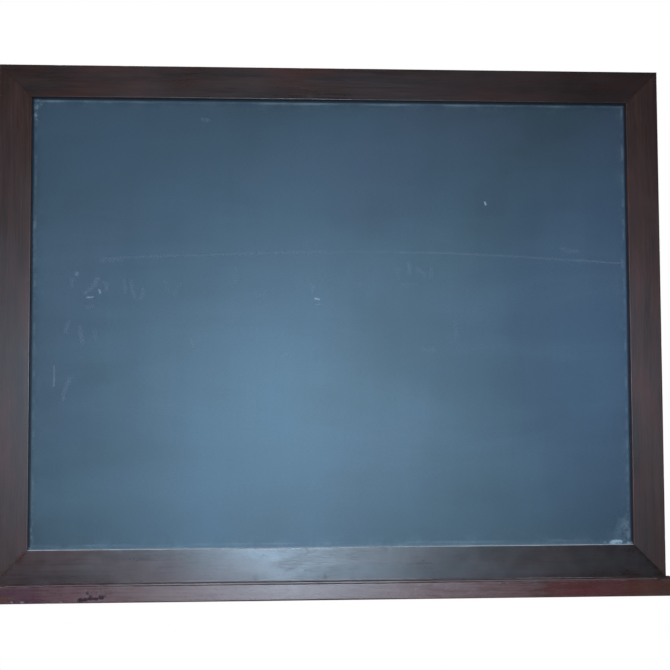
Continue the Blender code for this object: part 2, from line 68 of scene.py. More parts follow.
# Wooden members
SECTION_STEP = 4.0 * MM
ARRIS_RADIUS = 1.8 * MM
ARRIS_STEPS = 5
LEDGE_SIDE_ARRIS = 0.4 * MM
ARRIS_MARGIN = 0.5 * MM
BACK_ARRIS = 0.8 * MM
MITRE_EASE = 0.18 * MM
MITRE_GAP = 0.3 * MM
MITRE_CALM = 14.0 * MM
GLUE_THICKNESS = 0.5 * MM
GLUE_SETBACK = 0.35 * MM
PLANING_DEPTH = 0.22 * MM
PLANING_WAVE = 90.0 * MM
WEAR_REACH = 4.2 * MM
DENT_COUNT = 26
DENT_SHADE = 0.25
DENT_WEAR = 0.4
DENT_RADIUS = (2.5 * MM, 6.5 * MM)
DENT_DEPTH = (0.08 * MM, 0.30 * MM)
SEED_SHIFT_SHARES = (1.7, 0.9, 2.3)
ACROSS_SHARES = (0.2, 0.4, 0.6, 0.8)
GRAIN_DRIFT = 30.0 * MM
STAIN_WANDER = 220.0 * MM
ACROSS_MAP = "across"
SIDE_SHARE = 3.0

# Chalk ledge
LEDGE_TOP_RADIUS = 1.6 * MM
LEDGE_FOOT_EASE = 2.4 * MM
LEDGE_EDGE_EASE = 0.8 * MM
GROOVE_RADIUS = 8.5 * MM
GROOVE_SETBACK = 21.0 * MM
GROOVE_END_MARGIN = 34.0 * MM
GROOVE_LINES = 14
LAND_DEPTH = 0.2 * MM
LAND_WIDTH = 11.0 * MM
BED_DEPTH = 1.3 * MM
JOINT_SETBACK = 0.12 * MM
JOINT_END = 0.5 * MM
JOINT_WAVER = 0.1 * MM
COUNTERBORE_RADIUS = 5.6 * MM
COUNTERBORE_DEPTH = 11.0 * MM
CUT_OVERRUN = 2.0 * MM

# Panel sheets
SHEET_CORNER = 2.0 * MM
SHEET_EDGE_EASE = 0.12 * MM
SHEET_GRID = 36
SHEET_WAVE = 320.0 * MM
SHEET_RIPPLE = 0.12 * MM
BACKING_WAVE = 150.0 * MM
BACKING_RIPPLE = 0.10 * MM

# Small metalwork
TURNED_STEPS = 32
THREAD_PITCH = 1.4 * MM
THREAD_HEIGHT = 0.28 * MM
THREAD_STEPS = 14
THREAD_SHARE = 0.30
TIP_LENGTH = 4.0 * MM
RECESS_SPAN = 4.2 * MM
RECESS_WIDTH = 1.0 * MM
RECESS_DEPTH = 1.2 * MM
RECESS_TAPER_SHARE = 0.62
DOME_STEPS = 7
DOME_RIM_SHARE = 0.25
DOME_POWER = 0.7
METAL_EDGE = 0.25 * MM
BAR_EDGE = 0.35 * MM

# Each kind of screw: which nodes, the one that gives its size, its direction, head height and shank radius
SCREW_KINDS = (
    ("pan_screw", ("plate_screw", "button_screw"), "plate_screw_top_left_1", (0, 1, 0), 1.7 * MM, 1.75 * MM),
    ("flush_screw", "hanger_screw", "hanger_screw_1", (0, 1, 0), 0.0, 2.0 * MM),
    ("long_screw", "ledge_screw", "ledge_screw_1", (0, 0, -1), 2.6 * MM, 2.4 * MM),
)

# The bumper's turned outline, as shares of its radius and of its depth
BUMPER_PROFILE_SHARES = (
    (0, 0),
    (1, 0),
    (1, 0.16),
    (0.95, 0.24),
    (0.93, 0.60),
    (0.88, 0.84),
    (0.78, 0.97),
    (0.70, 1),
    (0.42, 0.90),
    (0, 0.86),
)

# Chalk strokes, in the photograph's pixels: a path, its width and its strength
CHALK_LIFT = 0.06 * MM
CHALK_STEP = 3.0 * MM
CHALK_LINES = 5
THIN_STROKE = 5.4 * MM
LINE_STROKE = 6.2 * MM
BROAD_STROKE = 11.0 * MM
END_LEAST_SHARE = 0.25
END_RISE = 3
WIDTH_SHARES = (0.85, 1.15)
STRENGTH_SHARES = (0.7, 1.0)
CHALK_STROKES = (
    (((98, 258.5), (150, 256.6), (200, 254.9), (262, 253.4)), LINE_STROKE, 0.05),
    (((101, 260.2), (112, 259.8), (124, 258.8)), BROAD_STROKE, 0.06),
    (((246, 253.7), (290, 252.6), (334, 252.4)), LINE_STROKE, 0.06),
    (((334, 252.4), (362, 252.2), (394, 252.2)), LINE_STROKE, 0.03),
    (((392, 252.2), (440, 253.0), (490, 254.8)), LINE_STROKE, 0.075),
    (((470, 254.0), (530, 257.4), (584, 260.9)), LINE_STROKE, 0.055),
    (((576, 260.3), (600, 262.0), (621, 263.4)), LINE_STROKE, 0.10),
    (((621.4, 259), (621.8, 263), (622, 268)), LINE_STROKE, 0.14),
    (((314.6, 298.2), (317, 299.2), (319.8, 299.3)), THIN_STROKE, 0.85),
    (((315.4, 304.0), (318, 304.6), (320.6, 304.3)), THIN_STROKE, 0.16),
    (((313.6, 284), (312.6, 288.5), (312.4, 293)), BROAD_STROKE, 0.07),
    (((484.8, 201.6), (485.2, 203.4), (485.9, 205.4)), THIN_STROKE, 0.80),
    (((78.0, 272.2), (76.8, 273.6), (75.8, 275.4)), BROAD_STROKE, 0.20),
    (((73.5, 278), (71.6, 283), (73.2, 288)), BROAD_STROKE, 0.06),
    (((99, 277), (93, 286), (84, 294)), BROAD_STROKE, 0.08),
    (((86.6, 297.2), (90, 297.4), (93.6, 296.8)), THIN_STROKE, 0.42),
    (((98.4, 289.6), (100.2, 291.2), (100.0, 293.6)), THIN_STROKE, 0.42),
    (((103.5, 281), (107.4, 286), (105, 291.4)), BROAD_STROKE, 0.07),
    (((84, 306.2), (89, 306.6), (94, 306.2)), BROAD_STROKE, 0.04),
    (((124, 279.4), (125, 287), (125.4, 294)), BROAD_STROKE, 0.05),
    (((131.6, 279.6), (132.4, 289), (136, 300)), BROAD_STROKE, 0.07),
    (((142.4, 287), (143, 292), (139, 301)), BROAD_STROKE, 0.05),
    (((165, 279), (167, 285), (168, 291)), BROAD_STROKE, 0.03),
    (((181, 282), (177, 289), (173, 297)), BROAD_STROKE, 0.03),
    (((70, 320), (67, 327), (64.6, 334)), BROAD_STROKE, 0.06),
    (((80, 325), (80.6, 334), (83.4, 344)), BROAD_STROKE, 0.07),
    (((94.6, 329), (95.4, 334), (95, 340)), BROAD_STROKE, 0.05),
    (((53.9, 365), (54.1, 376), (53.8, 387.6)), THIN_STROKE, 0.17),
    (((71, 376), (66.6, 386), (63.4, 395), (64.2, 401)), BROAD_STROKE, 0.07),
    (((191, 338), (192, 343), (191.6, 348)), BROAD_STROKE, 0.04),
    (((236, 266), (235, 275), (236, 284)), BROAD_STROKE, 0.03),
    (((268, 292), (262, 296), (254, 294)), BROAD_STROKE, 0.03),
    (((281, 355), (288, 356.4), (295, 356)), BROAD_STROKE, 0.04),
    (((398, 268), (397.4, 273), (399, 279)), BROAD_STROKE, 0.04),
    (((408, 262), (409.4, 268), (409, 275)), BROAD_STROKE, 0.07),
    (((415.6, 268), (421, 271), (426, 276)), BROAD_STROKE, 0.05),
    (((431, 267), (431.6, 273), (429.6, 279)), BROAD_STROKE, 0.05),
    (((401, 284), (409, 285.4), (418, 284.6)), BROAD_STROKE, 0.03),
    (((560, 248), (568, 250.4), (579, 251)), BROAD_STROKE, 0.05),
    (((452, 318), (456, 329), (455, 340)), BROAD_STROKE, 0.03),
    (((350, 286), (358, 284.6), (368, 285)), BROAD_STROKE, 0.04),
    (((201, 119), (205.6, 120), (210, 119.6)), BROAD_STROKE, 0.06),
    (((421, 350.4), (428, 349), (436, 350.2)), BROAD_STROKE, 0.04),
)

# Knocks on the ledge's foot: place in the photograph's pixels, radius, depth and share of darkening
FOOT_CHIPS = (
    ((13, 602), 3.6 * MM, 1.2 * MM, 0.20),
    ((24, 602), 5.0 * MM, 1.4 * MM, 0.20),
    ((34, 603), 3.4 * MM, 1.1 * MM, 0.15),
    ((48, 603), 4.2 * MM, 0.9 * MM, 0.15),
    ((62, 602), 3.4 * MM, 0.8 * MM, 0.20),
    ((80.5, 600.6), 4.6 * MM, 0.7 * MM, 1.0),
    ((85.0, 600.0), 3.6 * MM, 0.5 * MM, 1.0),
    ((90.5, 598.6), 4.4 * MM, 0.7 * MM, 1.0),
    ((95.6, 599.0), 3.4 * MM, 0.5 * MM, 1.0),
    ((101.0, 597.8), 4.2 * MM, 0.6 * MM, 1.0),
    ((104.4, 596.0), 2.8 * MM, 0.6 * MM, 0.9),
    ((87, 593.6), 2.2 * MM, 0.5 * MM, 0.9),
)
CHIP_CUT_STEP = 0.9 * MM
CHIP_CUT_ROWS = 8
CHIP_NARROWING = 0.62
CHIP_SLANT = Vector((0, 1, 0.6))
KNOCK_SPREAD = 3.4
CHIP_CUT_ENDS = (8, 110)

# Tones along the ledge's face, as the photograph's columns where each begins and is full; the pale and milky
# ones are painted light, the dim one painted shade
LEDGE_ROW = 595
WINE_COLUMNS = (-60, -40, 30, 72)
TAN_COLUMNS = (-60, -50, 0, 15)
BLUSH_COLUMNS = (36, 62, 96, 112)
PALE_GLOW_COLUMNS = (100, 118, 180, 280)
DIM_SHADE_COLUMNS = (225, 270, 325, 370)
MILKY_GLOW_COLUMNS = (360, 410, 535, 562)
RED_COLUMNS = (540, 568, 640, 690)
RUSSET_COLUMNS = (610, 650, 700, 720)
ROSE_COLUMNS = (-60, -30, 70, 190)
# The rails darken towards their right ends: painted shade
SHADED_END_COLUMNS = (350, 500, 700, 720)
TOP_SHADED_END_COLUMNS = (400, 520, 700, 720)

# Chalk haze with a painted pool of light, and dust on the sheet: places from the middle of the frame
GLOW_CENTRE = (-0.03, -0.115)
GLOW_REACH = (0.82, 0.39)
HAZE_AND_GLOW_PATCHES = (
    ((0.53, -0.02), (0.19, 0.38), 0.170),
    ((-0.56, 0.10), (0.16, 0.36), 0.070),
    ((-0.56, -0.38), (0.18, 0.22), 0.080),
    ((-0.06, -0.12), (0.22, 0.18), 0.050),
    ((0.21, 0.11), (0.24, 0.16), 0.070),
    ((0.00, 0.13), (0.20, 0.10), 0.025),
    ((0.16, -0.40), (0.30, 0.16), -0.055),
)
CLEARER_PATCH = ((0.56, -0.06), (0.34, 0.52), 0.80)
DUST_PATCHES = (
    ((-0.590, 0.434), (0.013, 0.018), 1.70),
    ((-0.590, 0.412), (0.010, 0.014), 1.20),
    ((-0.540, 0.4410), (0.090, 0.004), 0.20),
    ((-0.5965, 0.168), (0.005, 0.100), 0.30),
    ((-0.5965, -0.415), (0.006, 0.070), 0.45),
    ((0.566, -0.4438), (0.036, 0.0060), 2.60),
    ((0.594, -0.4400), (0.007, 0.016), 1.60),
    ((0.586, -0.4000), (0.028, 0.060), 0.14),
    ((0.590, -0.4270), (0.018, 0.034), 0.26),
    ((0.572, -0.4200), (0.026, 0.026), 0.10),
)

# Lamps: place, target, power, radius and cone of the hard ones, place, size and power of the soft ones
SPOT_LAMPS = (
    ("key_lamp", (-0.01, -2.66, -0.49), (-0.04, 0.0, -0.62), 124.0, 0.10, math.radians(58.0)),
    ("low_lamp", (0.0, -2.66, -1.02), (-0.04, 0.0, -0.93), 84.0, 0.18, math.radians(29.5)),
)
SOFT_LAMPS = (
    ("fill_lamp", (-2.9, -1.6, 2.4), 1.6, 32.0),
    ("rear_lamp", (-1.8, 2.6, 1.6), 2.4, 78.0),
)
KEY_COLOUR = (0.90, 0.96, 1.0)

# Background and floor
AMBIENT_STRENGTH = 0.26
MIRROR_BEHIND = (-0.15, 0.45)
MIRROR_LEVEL = (0.08, -0.06)
ROOM_COLOUR = (0.20, 0.21, 0.22, 1.0)
WHITE = (1.0, 1.0, 1.0, 1.0)
FLOOR_COLOUR = (0.80, 0.80, 0.79, 1.0)
FLOOR_DROP = 0.85
FLOOR_RADIUS = 9.0
FLOOR_FADE = (0.2, 2.6)
FLOOR_LEAST_GLOW = 0.45
FLOOR_SIDES = 96

# Colours
STAIN_DEEP = (0.0270, 0.0140, 0.0120, 1.0)
STAIN_BROWN = (0.0700, 0.0330, 0.0240, 1.0)
STAIN_RED = (0.1050, 0.0330, 0.0240, 1.0)
STILE_DEEP = (0.0400, 0.0170, 0.0125, 1.0)
STILE_BROWN = (0.0970, 0.0400, 0.0270, 1.0)
STILE_RED = (0.1280, 0.0370, 0.0260, 1.0)
KNOCK_DARK = (0.0160, 0.0025, 0.0120, 1.0)
UNDERSIDE_SHADE = (0.0130, 0.0075, 0.0075, 1.0)
STAIN_WORN = (0.1500, 0.0820, 0.0520, 1.0)
BARE_WOOD = (0.2600, 0.1500, 0.0850, 1.0)
LEDGE_DEEP = (0.0380, 0.0180, 0.0165, 1.0)
LEDGE_BROWN = (0.0760, 0.0360, 0.0330, 1.0)
LEDGE_RED = (0.1050, 0.0200, 0.0240, 1.0)
LEDGE_RUSSET = (0.0860, 0.0330, 0.0190, 1.0)
LEDGE_TAN = (0.1050, 0.0480, 0.0300, 1.0)
LEDGE_BLUSH = (0.1400, 0.0700, 0.0880, 1.0)
STAIN_ROSE = (0.0850, 0.0400, 0.0420, 1.0)
RAIL_END_SHADE = (0.0180, 0.0115, 0.0120, 1.0)
LEDGE_WINE = (0.0880, 0.0260, 0.0570, 1.0)
SLATE_DEEP = (0.0330, 0.0560, 0.0820, 1.0)
SLATE_BLUE = (0.0430, 0.0800, 0.1340, 1.0)
SLATE_PLUM = (0.0510, 0.0730, 0.1340, 1.0)
HAZE_AND_GLOW_BLUE = (0.1320, 0.2430, 0.3520, 1.0)
SLATE_CLEAR = (0.0450, 0.0830, 0.1900, 1.0)
CHALK_PALE = (0.2600, 0.3800, 0.5900, 1.0)
CHALK_WHITE = (0.4400, 0.5900, 0.8000, 1.0)
DUST_TONE = (0.3000, 0.3000, 0.3300, 1.0)
LIP_DUST_AND_HIGHLIGHT = (0.7000, 0.8000, 0.9000, 1.0)
CREASE_DUST_AND_LIGHT = (0.5000, 0.5200, 0.5800, 1.0)
SHEET_DUST = (0.3700, 0.5200, 0.6500, 1.0)
LEDGE_PALE_GLOW = (0.1250, 0.0760, 0.0830, 1.0)
ZINC_PALE = (0.4900, 0.4750, 0.4200, 1.0)
ZINC_DULL = (0.2600, 0.2600, 0.2450, 1.0)
ALUMINIUM_PALE = (0.5200, 0.5300, 0.5400, 1.0)
ALUMINIUM_DULL = (0.3500, 0.3600, 0.3700, 1.0)
BACKING_PALE = (0.3900, 0.4000, 0.4050, 1.0)
BACKING_DULL = (0.2900, 0.3000, 0.3050, 1.0)
GLUE_BROWN = (0.0150, 0.0095, 0.0085, 1.0)
LIP_SHADE_TONE = (0.0080, 0.0110, 0.0240, 1.0)
BLUE_SHEEN = (0.58, 0.80, 1.0, 1.0)
LEDGE_TINT = (0.80, 0.86, 1.0, 1.0)
ENAMEL_TINT = (0.50, 0.78, 1.0, 1.0)
RUBBER_DARK = (0.0180, 0.0180, 0.0190, 1.0)
RUBBER_GREY = (0.0600, 0.0600, 0.0620, 1.0)
FIBRE_DARK = (0.1900, 0.1150, 0.0650, 1.0)
FIBRE_LIGHT = (0.3600, 0.2400, 0.1450, 1.0)
BEECH_DARK = (0.4300, 0.2800, 0.1500, 1.0)
BEECH_LIGHT = (0.6200, 0.4500, 0.2800, 1.0)

# Finishes: a piece's gloss, sheen, pull along the grain, and dulling of its edges and of its top
RAIL_SHEEN = 0.70
RAIL_LOOK = ((0.27, 0.37), RAIL_SHEEN, 0.0, 0.0, 0.0)
STILE_LOOK = ((0.34, 0.41), 0.78, 0.56, 0.0, 0.0)
LEDGE_LOOK = ((0.24, 0.30), 0.70, 0.0, 0.05, 0.30)
FRAME_TONES = (STAIN_DEEP, STAIN_BROWN, STAIN_RED)
STILE_TONES = (STILE_DEEP, STILE_BROWN, STILE_RED)
LEDGE_TONES = (LEDGE_DEEP, LEDGE_BROWN, LEDGE_RED)

# Dust on a member: what settles, the film elsewhere, its colour, and its coat on what faces up (on the
# bottom rail's lip the coat is partly a painted highlight)
CLEAN = (0.85, 0.01, DUST_TONE, 0.0)
DUSTY_HIGHLIT_LIP = (0.90, 0.02, LIP_DUST_AND_HIGHLIGHT, 0.80)
DUSTY_LEDGE = ((0.60, 0.95), 0.05, DUST_TONE, 0.0)

# Each member's turn of the grain, place in the grain, tones, warmth, look and dust
MEMBER_FINISHES = {
    "top_rail": (0.0, (0.31, 0.11, 0.23), FRAME_TONES, 0.60, RAIL_LOOK, CLEAN),
    "bottom_rail": (0.0, (1.73, 0.42, 0.66), FRAME_TONES, 0.45, RAIL_LOOK, DUSTY_HIGHLIT_LIP),
    "left_stile": (QUARTER, (0.87, 0.29, 0.52), STILE_TONES, 0.45, STILE_LOOK, CLEAN),
    "right_stile": (QUARTER, (2.4, 0.63, 0.94), STILE_TONES, 0.60, STILE_LOOK, CLEAN),
}
LEDGE_FINISH = (0.0, (3.17, 0.71, 0.38), LEDGE_TONES, 0.45, LEDGE_LOOK, DUSTY_LEDGE)

# Stain that took unevenly, with painted light and shade in some regions: the photograph's columns, the tone
# and its strength
UNEVEN_STAIN = {
    "ledge_wood": (
        (WINE_COLUMNS, LEDGE_WINE, 0.75),
        (TAN_COLUMNS, LEDGE_TAN, 0.80),
        (BLUSH_COLUMNS, LEDGE_BLUSH, 0.70),
        # Pale and milky regions are painted light where the lamp's glow spreads; the dim one is painted
        # shade at its peak
        (PALE_GLOW_COLUMNS, LEDGE_PALE_GLOW, 0.70),
        (DIM_SHADE_COLUMNS, LEDGE_DEEP, 0.50),
        (MILKY_GLOW_COLUMNS, LEDGE_PALE_GLOW, 0.72),
        (RED_COLUMNS, LEDGE_RED, 0.85),
        (RUSSET_COLUMNS, LEDGE_RUSSET, 0.60),
    ),
    # The dark right end of each rail is painted shade
    "bottom_rail_wood": ((ROSE_COLUMNS, STAIN_ROSE, 0.45), (SHADED_END_COLUMNS, RAIL_END_SHADE, 0.85)),
    "top_rail_wood": ((TOP_SHADED_END_COLUMNS, RAIL_END_SHADE, 0.55),),
}

# Chalk dust about the crease between rail and ledge, with painted light that lifts the shade there
DUST_AND_LIGHT_RIGHT_COLUMNS = (510, 550, 600, 625)
DUST_AND_LIGHT_FILLED_COLUMNS = (90, 250, 600, 625)
DUST_AND_LIGHT_COLUMNS = (70, 220, 375, 440)
FOOT_DUST_AND_LIGHT_HEIGHTS = (1.2 * MM, 4.2 * MM)
FOOT_DUST_AND_LIGHT_SHARE = 0.25
BED_DUST_SHARE = 0.65
BED_DUST_LEAST_SHARE = 0.25
POLISHED_COLUMNS = (440, 570)

# Chalk along the sheet's edges, and painted shade from the frame's lip, by the distance from the frame
EDGE_LINE = (4.5 * MM, 6.5 * MM, 7.5 * MM, 11.0 * MM)
TOP_LINE = (3.4 * MM, 5.0 * MM, 6.0 * MM, 8.5 * MM)
RIM_FADE = (30.0 * MM, 3.0 * MM)
FOOT_FADE = (7.0 * MM, 1.0 * MM)
LIP_SHADE_FADE = (4.6 * MM, 1.8 * MM)

# Fine relief of each finish
WOOD_RELIEF = 0.10 * MM
CREASE_RELIEF = 0.08 * MM
ENAMEL_RELIEF = 0.05 * MM
METAL_RELIEF = 0.04 * MM
RUBBER_RELIEF = 0.08 * MM
FIBRE_RELIEF = 0.12 * MM

# Sizes read from the frame
TOP_LOW, TOP_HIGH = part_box("top_rail")
BOTTOM_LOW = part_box("bottom_rail")[0]
LEFT_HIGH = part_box("left_stile")[1]
RIGHT_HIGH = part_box("right_stile")[1]
SHEET_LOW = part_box("writing_sheet")[0]
LEDGE_LOW, LEDGE_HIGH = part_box("chalk_ledge")
FRAME_FRONT = TOP_LOW.y
FRAME_BACK = TOP_HIGH.y
FRAME_THICKNESS = FRAME_BACK - FRAME_FRONT
MEMBER_WIDTH = TOP_HIGH.z - TOP_LOW.z
LIP_DEPTH = SHEET_LOW.y - MITRE_GAP - FRAME_FRONT
RABBET_EDGE = MEMBER_WIDTH - (LEFT_HIGH.x - SHEET_LOW.x) - 3 * MITRE_GAP
MIDDLE_Z = (TOP_HIGH.z + BOTTOM_LOW.z) / 2
HALF_WIDTH = RIGHT_HIGH.x
HALF_HEIGHT = (TOP_HIGH.z - BOTTOM_LOW.z) / 2
OPENING_HALF = HALF_WIDTH - MEMBER_WIDTH
OPENING_RISE = HALF_HEIGHT - MEMBER_WIDTH


# Camera

def camera_axes():
    """The camera's right, up and forward directions."""
    forward = Vector((-math.sin(CAMERA_YAW), math.cos(CAMERA_YAW), 0))
    right = Vector((math.cos(CAMERA_YAW), math.sin(CAMERA_YAW), 0))
    up = Vector((0, 0, 1))
    tilted = forward * math.cos(CAMERA_PITCH) + up * math.sin(CAMERA_PITCH)
    up = up * math.cos(CAMERA_PITCH) - forward * math.sin(CAMERA_PITCH)
    rolled_right = right * math.cos(CAMERA_ROLL) + up * math.sin(CAMERA_ROLL)
    rolled_up = up * math.cos(CAMERA_ROLL) - right * math.sin(CAMERA_ROLL)
    return rolled_right, rolled_up, tilted


CAMERA_SPOT = Vector(CAMERA_FROM_MIDDLE) + Vector((0, FRAME_FRONT, MIDDLE_Z))


def photo_point(pixel, depth):
    """Where the ray through a pixel of the photograph meets the plane y = depth."""
    right, up, forward = camera_axes()
    across = (pixel[0] - PHOTO_MIDDLE) / FOCAL_PIXELS
    down = (pixel[1] - PHOTO_MIDDLE) / FOCAL_PIXELS
    ray = forward + right * across - up * down
    return CAMERA_SPOT + ray * ((depth - CAMERA_SPOT.y) / ray.y)


def shown(name, data):
    """A new object in the scene."""
    item = bpy.data.objects.new(name, data)
    bpy.context.scene.collection.objects.link(item)
    return item


def set_camera():
    right, up, forward = camera_axes()
    data = bpy.data.cameras.new("photo_camera")
    data.sensor_width = SENSOR_WIDTH
    data.lens = FOCAL_PIXELS / PHOTO_SIDE * SENSOR_WIDTH
    camera = shown("photo_camera", data)
    turn = Matrix((right, up, -forward)).transposed().to_4x4()
    camera.matrix_world = Matrix.Translation(CAMERA_SPOT) @ turn
    bpy.context.scene.camera = camera


# Shader helpers

class Flow:
    """A value on its way through a shader's nodes: a sum with it adds a Math node."""

    def __init__(self, socket):
        self.socket = socket
        self.tree = socket.id_data

    def __add__(self, other):
        return maths("ADD", self, other)

    def __sub__(self, other):
        return maths("SUBTRACT", self, other)

    def __rsub__(self, other):
        return maths("SUBTRACT", other, self)

    def __mul__(self, other):
        return maths("MULTIPLY", self, other)

    def __truediv__(self, other):
        return maths("DIVIDE", self, other)


class Outlets:
    """A node's outputs, each given as a flow."""

    def __init__(self, node):
        self.node = node
        self.tree = node.id_data

    def __getitem__(self, name):
        return Flow(self.node.outputs[name])


def feed(socket, value):
    """Link a flow to a socket, or set the socket to a plain value."""
    if isinstance(value, Flow):
        value.tree.links.new(value.socket, socket)
    else:
        socket.default_value = value


def add(tree, kind, values=None, **settings):
    """A new node with its settings and inputs; gives its outputs."""
    made = tree.nodes.new(kind)
    for name, value in settings.items():
        setattr(made, name, value)
    for name, value in (values or {}).items():
        feed(made.inputs[name], value)
    return Outlets(made)


def maths(operation, first, second):
    """A Math node on two values, at least one of them a flow."""
    tree = first.tree if isinstance(first, Flow) else second.tree
    return add(tree, "ShaderNodeMath", {0: first, 1: second}, operation=operation)["Value"]


def held(value):
    """The same flow, kept between 0 and 1."""
    value.socket.node.use_clamp = True
    return value


def spread(value, low, high, to_low=0.0, to_high=1.0):
    """A smooth step from one value to another."""
    values = {"Value": value, "From Min": low, "From Max": high, "To Min": to_low, "To Max": to_high}
    return add(value.tree, "ShaderNodeMapRange", values, interpolation_type="SMOOTHSTEP")["Result"]


def band(value, begin, full, fading, end):
    """A mask that rises between the first two values and falls between the last two."""
    return spread(value, begin, full) * spread(value, end, fading)


def blend(factor, first, second):
    """The first colour, giving way to the second by the factor."""
    values = {0: factor, 6: first, 7: second}
    return add(factor.tree, "ShaderNodeMix", values, data_type="RGBA", clamp_factor=True)[2]


def dimmed(colour, share):
    """The colour times a share that changes over the surface."""
    return add(colour.tree, "ShaderNodeVectorMath", {0: colour, "Scale": share}, operation="SCALE")["Vector"]


def parts_of(vector):
    """The X, Y and Z of a vector."""
    return add(vector.tree, "ShaderNodeSeparateXYZ", {"Vector": vector})


def length_of(vector):
    return add(vector.tree, "ShaderNodeVectorMath", {"Vector": vector}, operation="LENGTH")["Value"]


def facing(tree):
    """The parts of the direction that the surface faces."""
    return parts_of(add(tree, "ShaderNodeNewGeometry")["Normal"])


def attribute(tree, name):
    return add(tree, "ShaderNodeAttribute", attribute_name=name)["Fac"]


def mapped(vector, scale=(1, 1, 1), location=(0, 0, 0), rotation=(0, 0, 0)):
    values = {"Vector": vector, "Scale": scale, "Location": location, "Rotation": rotation}
    return add(vector.tree, "ShaderNodeMapping", values)["Vector"]


def noise_of(vector, scale, detail=4.0, roughness=0.5, distortion=0.0):
    """Noise with one scale, or with a scale for each axis."""
    if isinstance(scale, tuple):
        vector = mapped(vector, scale)
        scale = 1.0
    values = {
        "Vector": vector,
        "Scale": scale,
        "Detail": detail,
        "Roughness": roughness,
        "Distortion": distortion,
    }
    return add(vector.tree, "ShaderNodeTexNoise", values)["Fac"]


def between(share, low, high):
    return share * (high - low) + low


def new_group(name, inputs):
    """A shader group and its inputs: a vector where no value is given, else a colour or a number."""
    group = bpy.data.node_groups.new(name, "ShaderNodeTree")
    for label, value in inputs.items():
        kind = VECTOR if value is None else COLOUR if isinstance(value, tuple) else FLOAT
        socket = group.interface.new_socket(name=label, in_out="INPUT", socket_type=kind)
        if value is not None:
            socket.default_value = value
    return add(group, "NodeGroupInput")


def hand_out(given, results):
    """Close a group with its results: a colour under Color, numbers under the other names."""
    for label in results:
        kind = COLOUR if label == "Color" else FLOAT
        given.tree.interface.new_socket(name=label, in_out="OUTPUT", socket_type=kind)
    add(given.tree, "NodeGroupOutput", results)
    return given.tree


def use(group, vector, **values):
    """A shared effect at a place, its inputs named by the keywords."""
    inputs = {name.capitalize(): value for name, value in values.items()}
    return add(vector.tree, "ShaderNodeGroup", {"Vector": vector, **inputs}, node_tree=group)


# Shared effects

def make_grain_group():
    """Stained wood whose grain runs along X of the vector that it is given."""
    tones = {"Deep": STAIN_DEEP, "Middle": STAIN_BROWN, "Warm": STAIN_RED}
    given = new_group("stained_grain", {"Vector": None, **tones, "Warmth": 0.5, "Contrast": 0.6})
    place = given["Vector"]
    drift = (noise_of(place, (1.6, 7.0, 7.0), 3.0) - 0.5) * GRAIN_DRIFT
    shift = add(place.tree, "ShaderNodeCombineXYZ", {"Y": drift, "Z": drift})["Vector"]
    swayed = add(place.tree, "ShaderNodeVectorMath", {0: place, 1: shift}, operation="ADD")["Vector"]
    figure = noise_of(swayed, (2.2, 46.0, 46.0), 4.0, 0.55)
    streaks = noise_of(swayed, (7.0, 340.0, 340.0), 3.0, 0.6)
    hairs = noise_of(swayed, (26.0, 1300.0, 1300.0), 2.0, 0.6)
    pores = spread(noise_of(swayed, (48.0, 1500.0, 1500.0), 1.0), 0.60, 0.70)
    patches = spread(noise_of(place, (3.4, 11.0, 11.0), 3.0), 0.42, 0.68)
    tone = spread(figure * 0.55 + streaks * 0.45, 0.36, 0.64) * given["Contrast"]
    colour = blend(tone, given["Deep"], given["Middle"])
    colour = blend(patches * given["Warmth"], colour, given["Warm"])
    colour = dimmed(colour, spread(hairs, 0.30, 0.72, 0.80, 1.14))
    colour = blend(pores * 0.55, colour, given["Deep"])
    height = streaks * 0.55 + hairs * 0.30 - pores * 0.55
    return hand_out(given, {"Color": colour, "Height": height, "Streaks": streaks, "Pores": pores})


def make_wear_group():
    """Where handling has rubbed the finish off, from the piece's own wear attribute."""
    given = new_group("rubbed_edges", {"Vector": None, "Wear": 0.0, "Amount": 0.5, "Scale": 60.0})
    broad = noise_of(given["Vector"], (9.0, 9.0, 9.0), 3.0)
    fine = noise_of(given["Vector"], given["Scale"], 5.0)
    level = given["Wear"] * (fine * 0.6 + broad * 0.6) * given["Amount"]
    return hand_out(given, {"Mask": spread(level, 0.26, 0.52)})


def make_dust_group():
    """Chalk dust that settles on what faces up, with a thin film elsewhere."""
    given = new_group("settled_dust", {"Vector": None, "Settled": 0.6, "Film": 0.1, "Scale": 40.0})
    place = given["Vector"]
    upward = spread(facing(place.tree)["Z"], 0.25, 0.95)
    patch = spread(noise_of(place, given["Scale"], 6.0, 0.62), 0.36, 0.66)
    speck = spread(noise_of(place, 900.0, 2.0), 0.40, 0.66)
    amount = upward * patch * given["Settled"] + patch * given["Film"]
    mask = held(amount * (speck * 0.5 + 0.6))
    return hand_out(given, {"Mask": mask, "Height": mask * speck})


def make_smudge_group():
    """Slow changes of gloss from hands, cloths and handling."""
    given = new_group("handling_smudges", {"Vector": None, "Low": 0.3, "High": 0.5, "Scale": 14.0})
    cloud = noise_of(given["Vector"], given["Scale"], 5.0, 0.5, 0.6)
    fine = noise_of(given["Vector"], 420.0, 2.0)
    mask = spread(cloud * 0.8 + fine * 0.2, 0.36, 0.64)
    return hand_out(given, {"Roughness": between(mask, given["Low"], given["High"]), "Mask": mask})


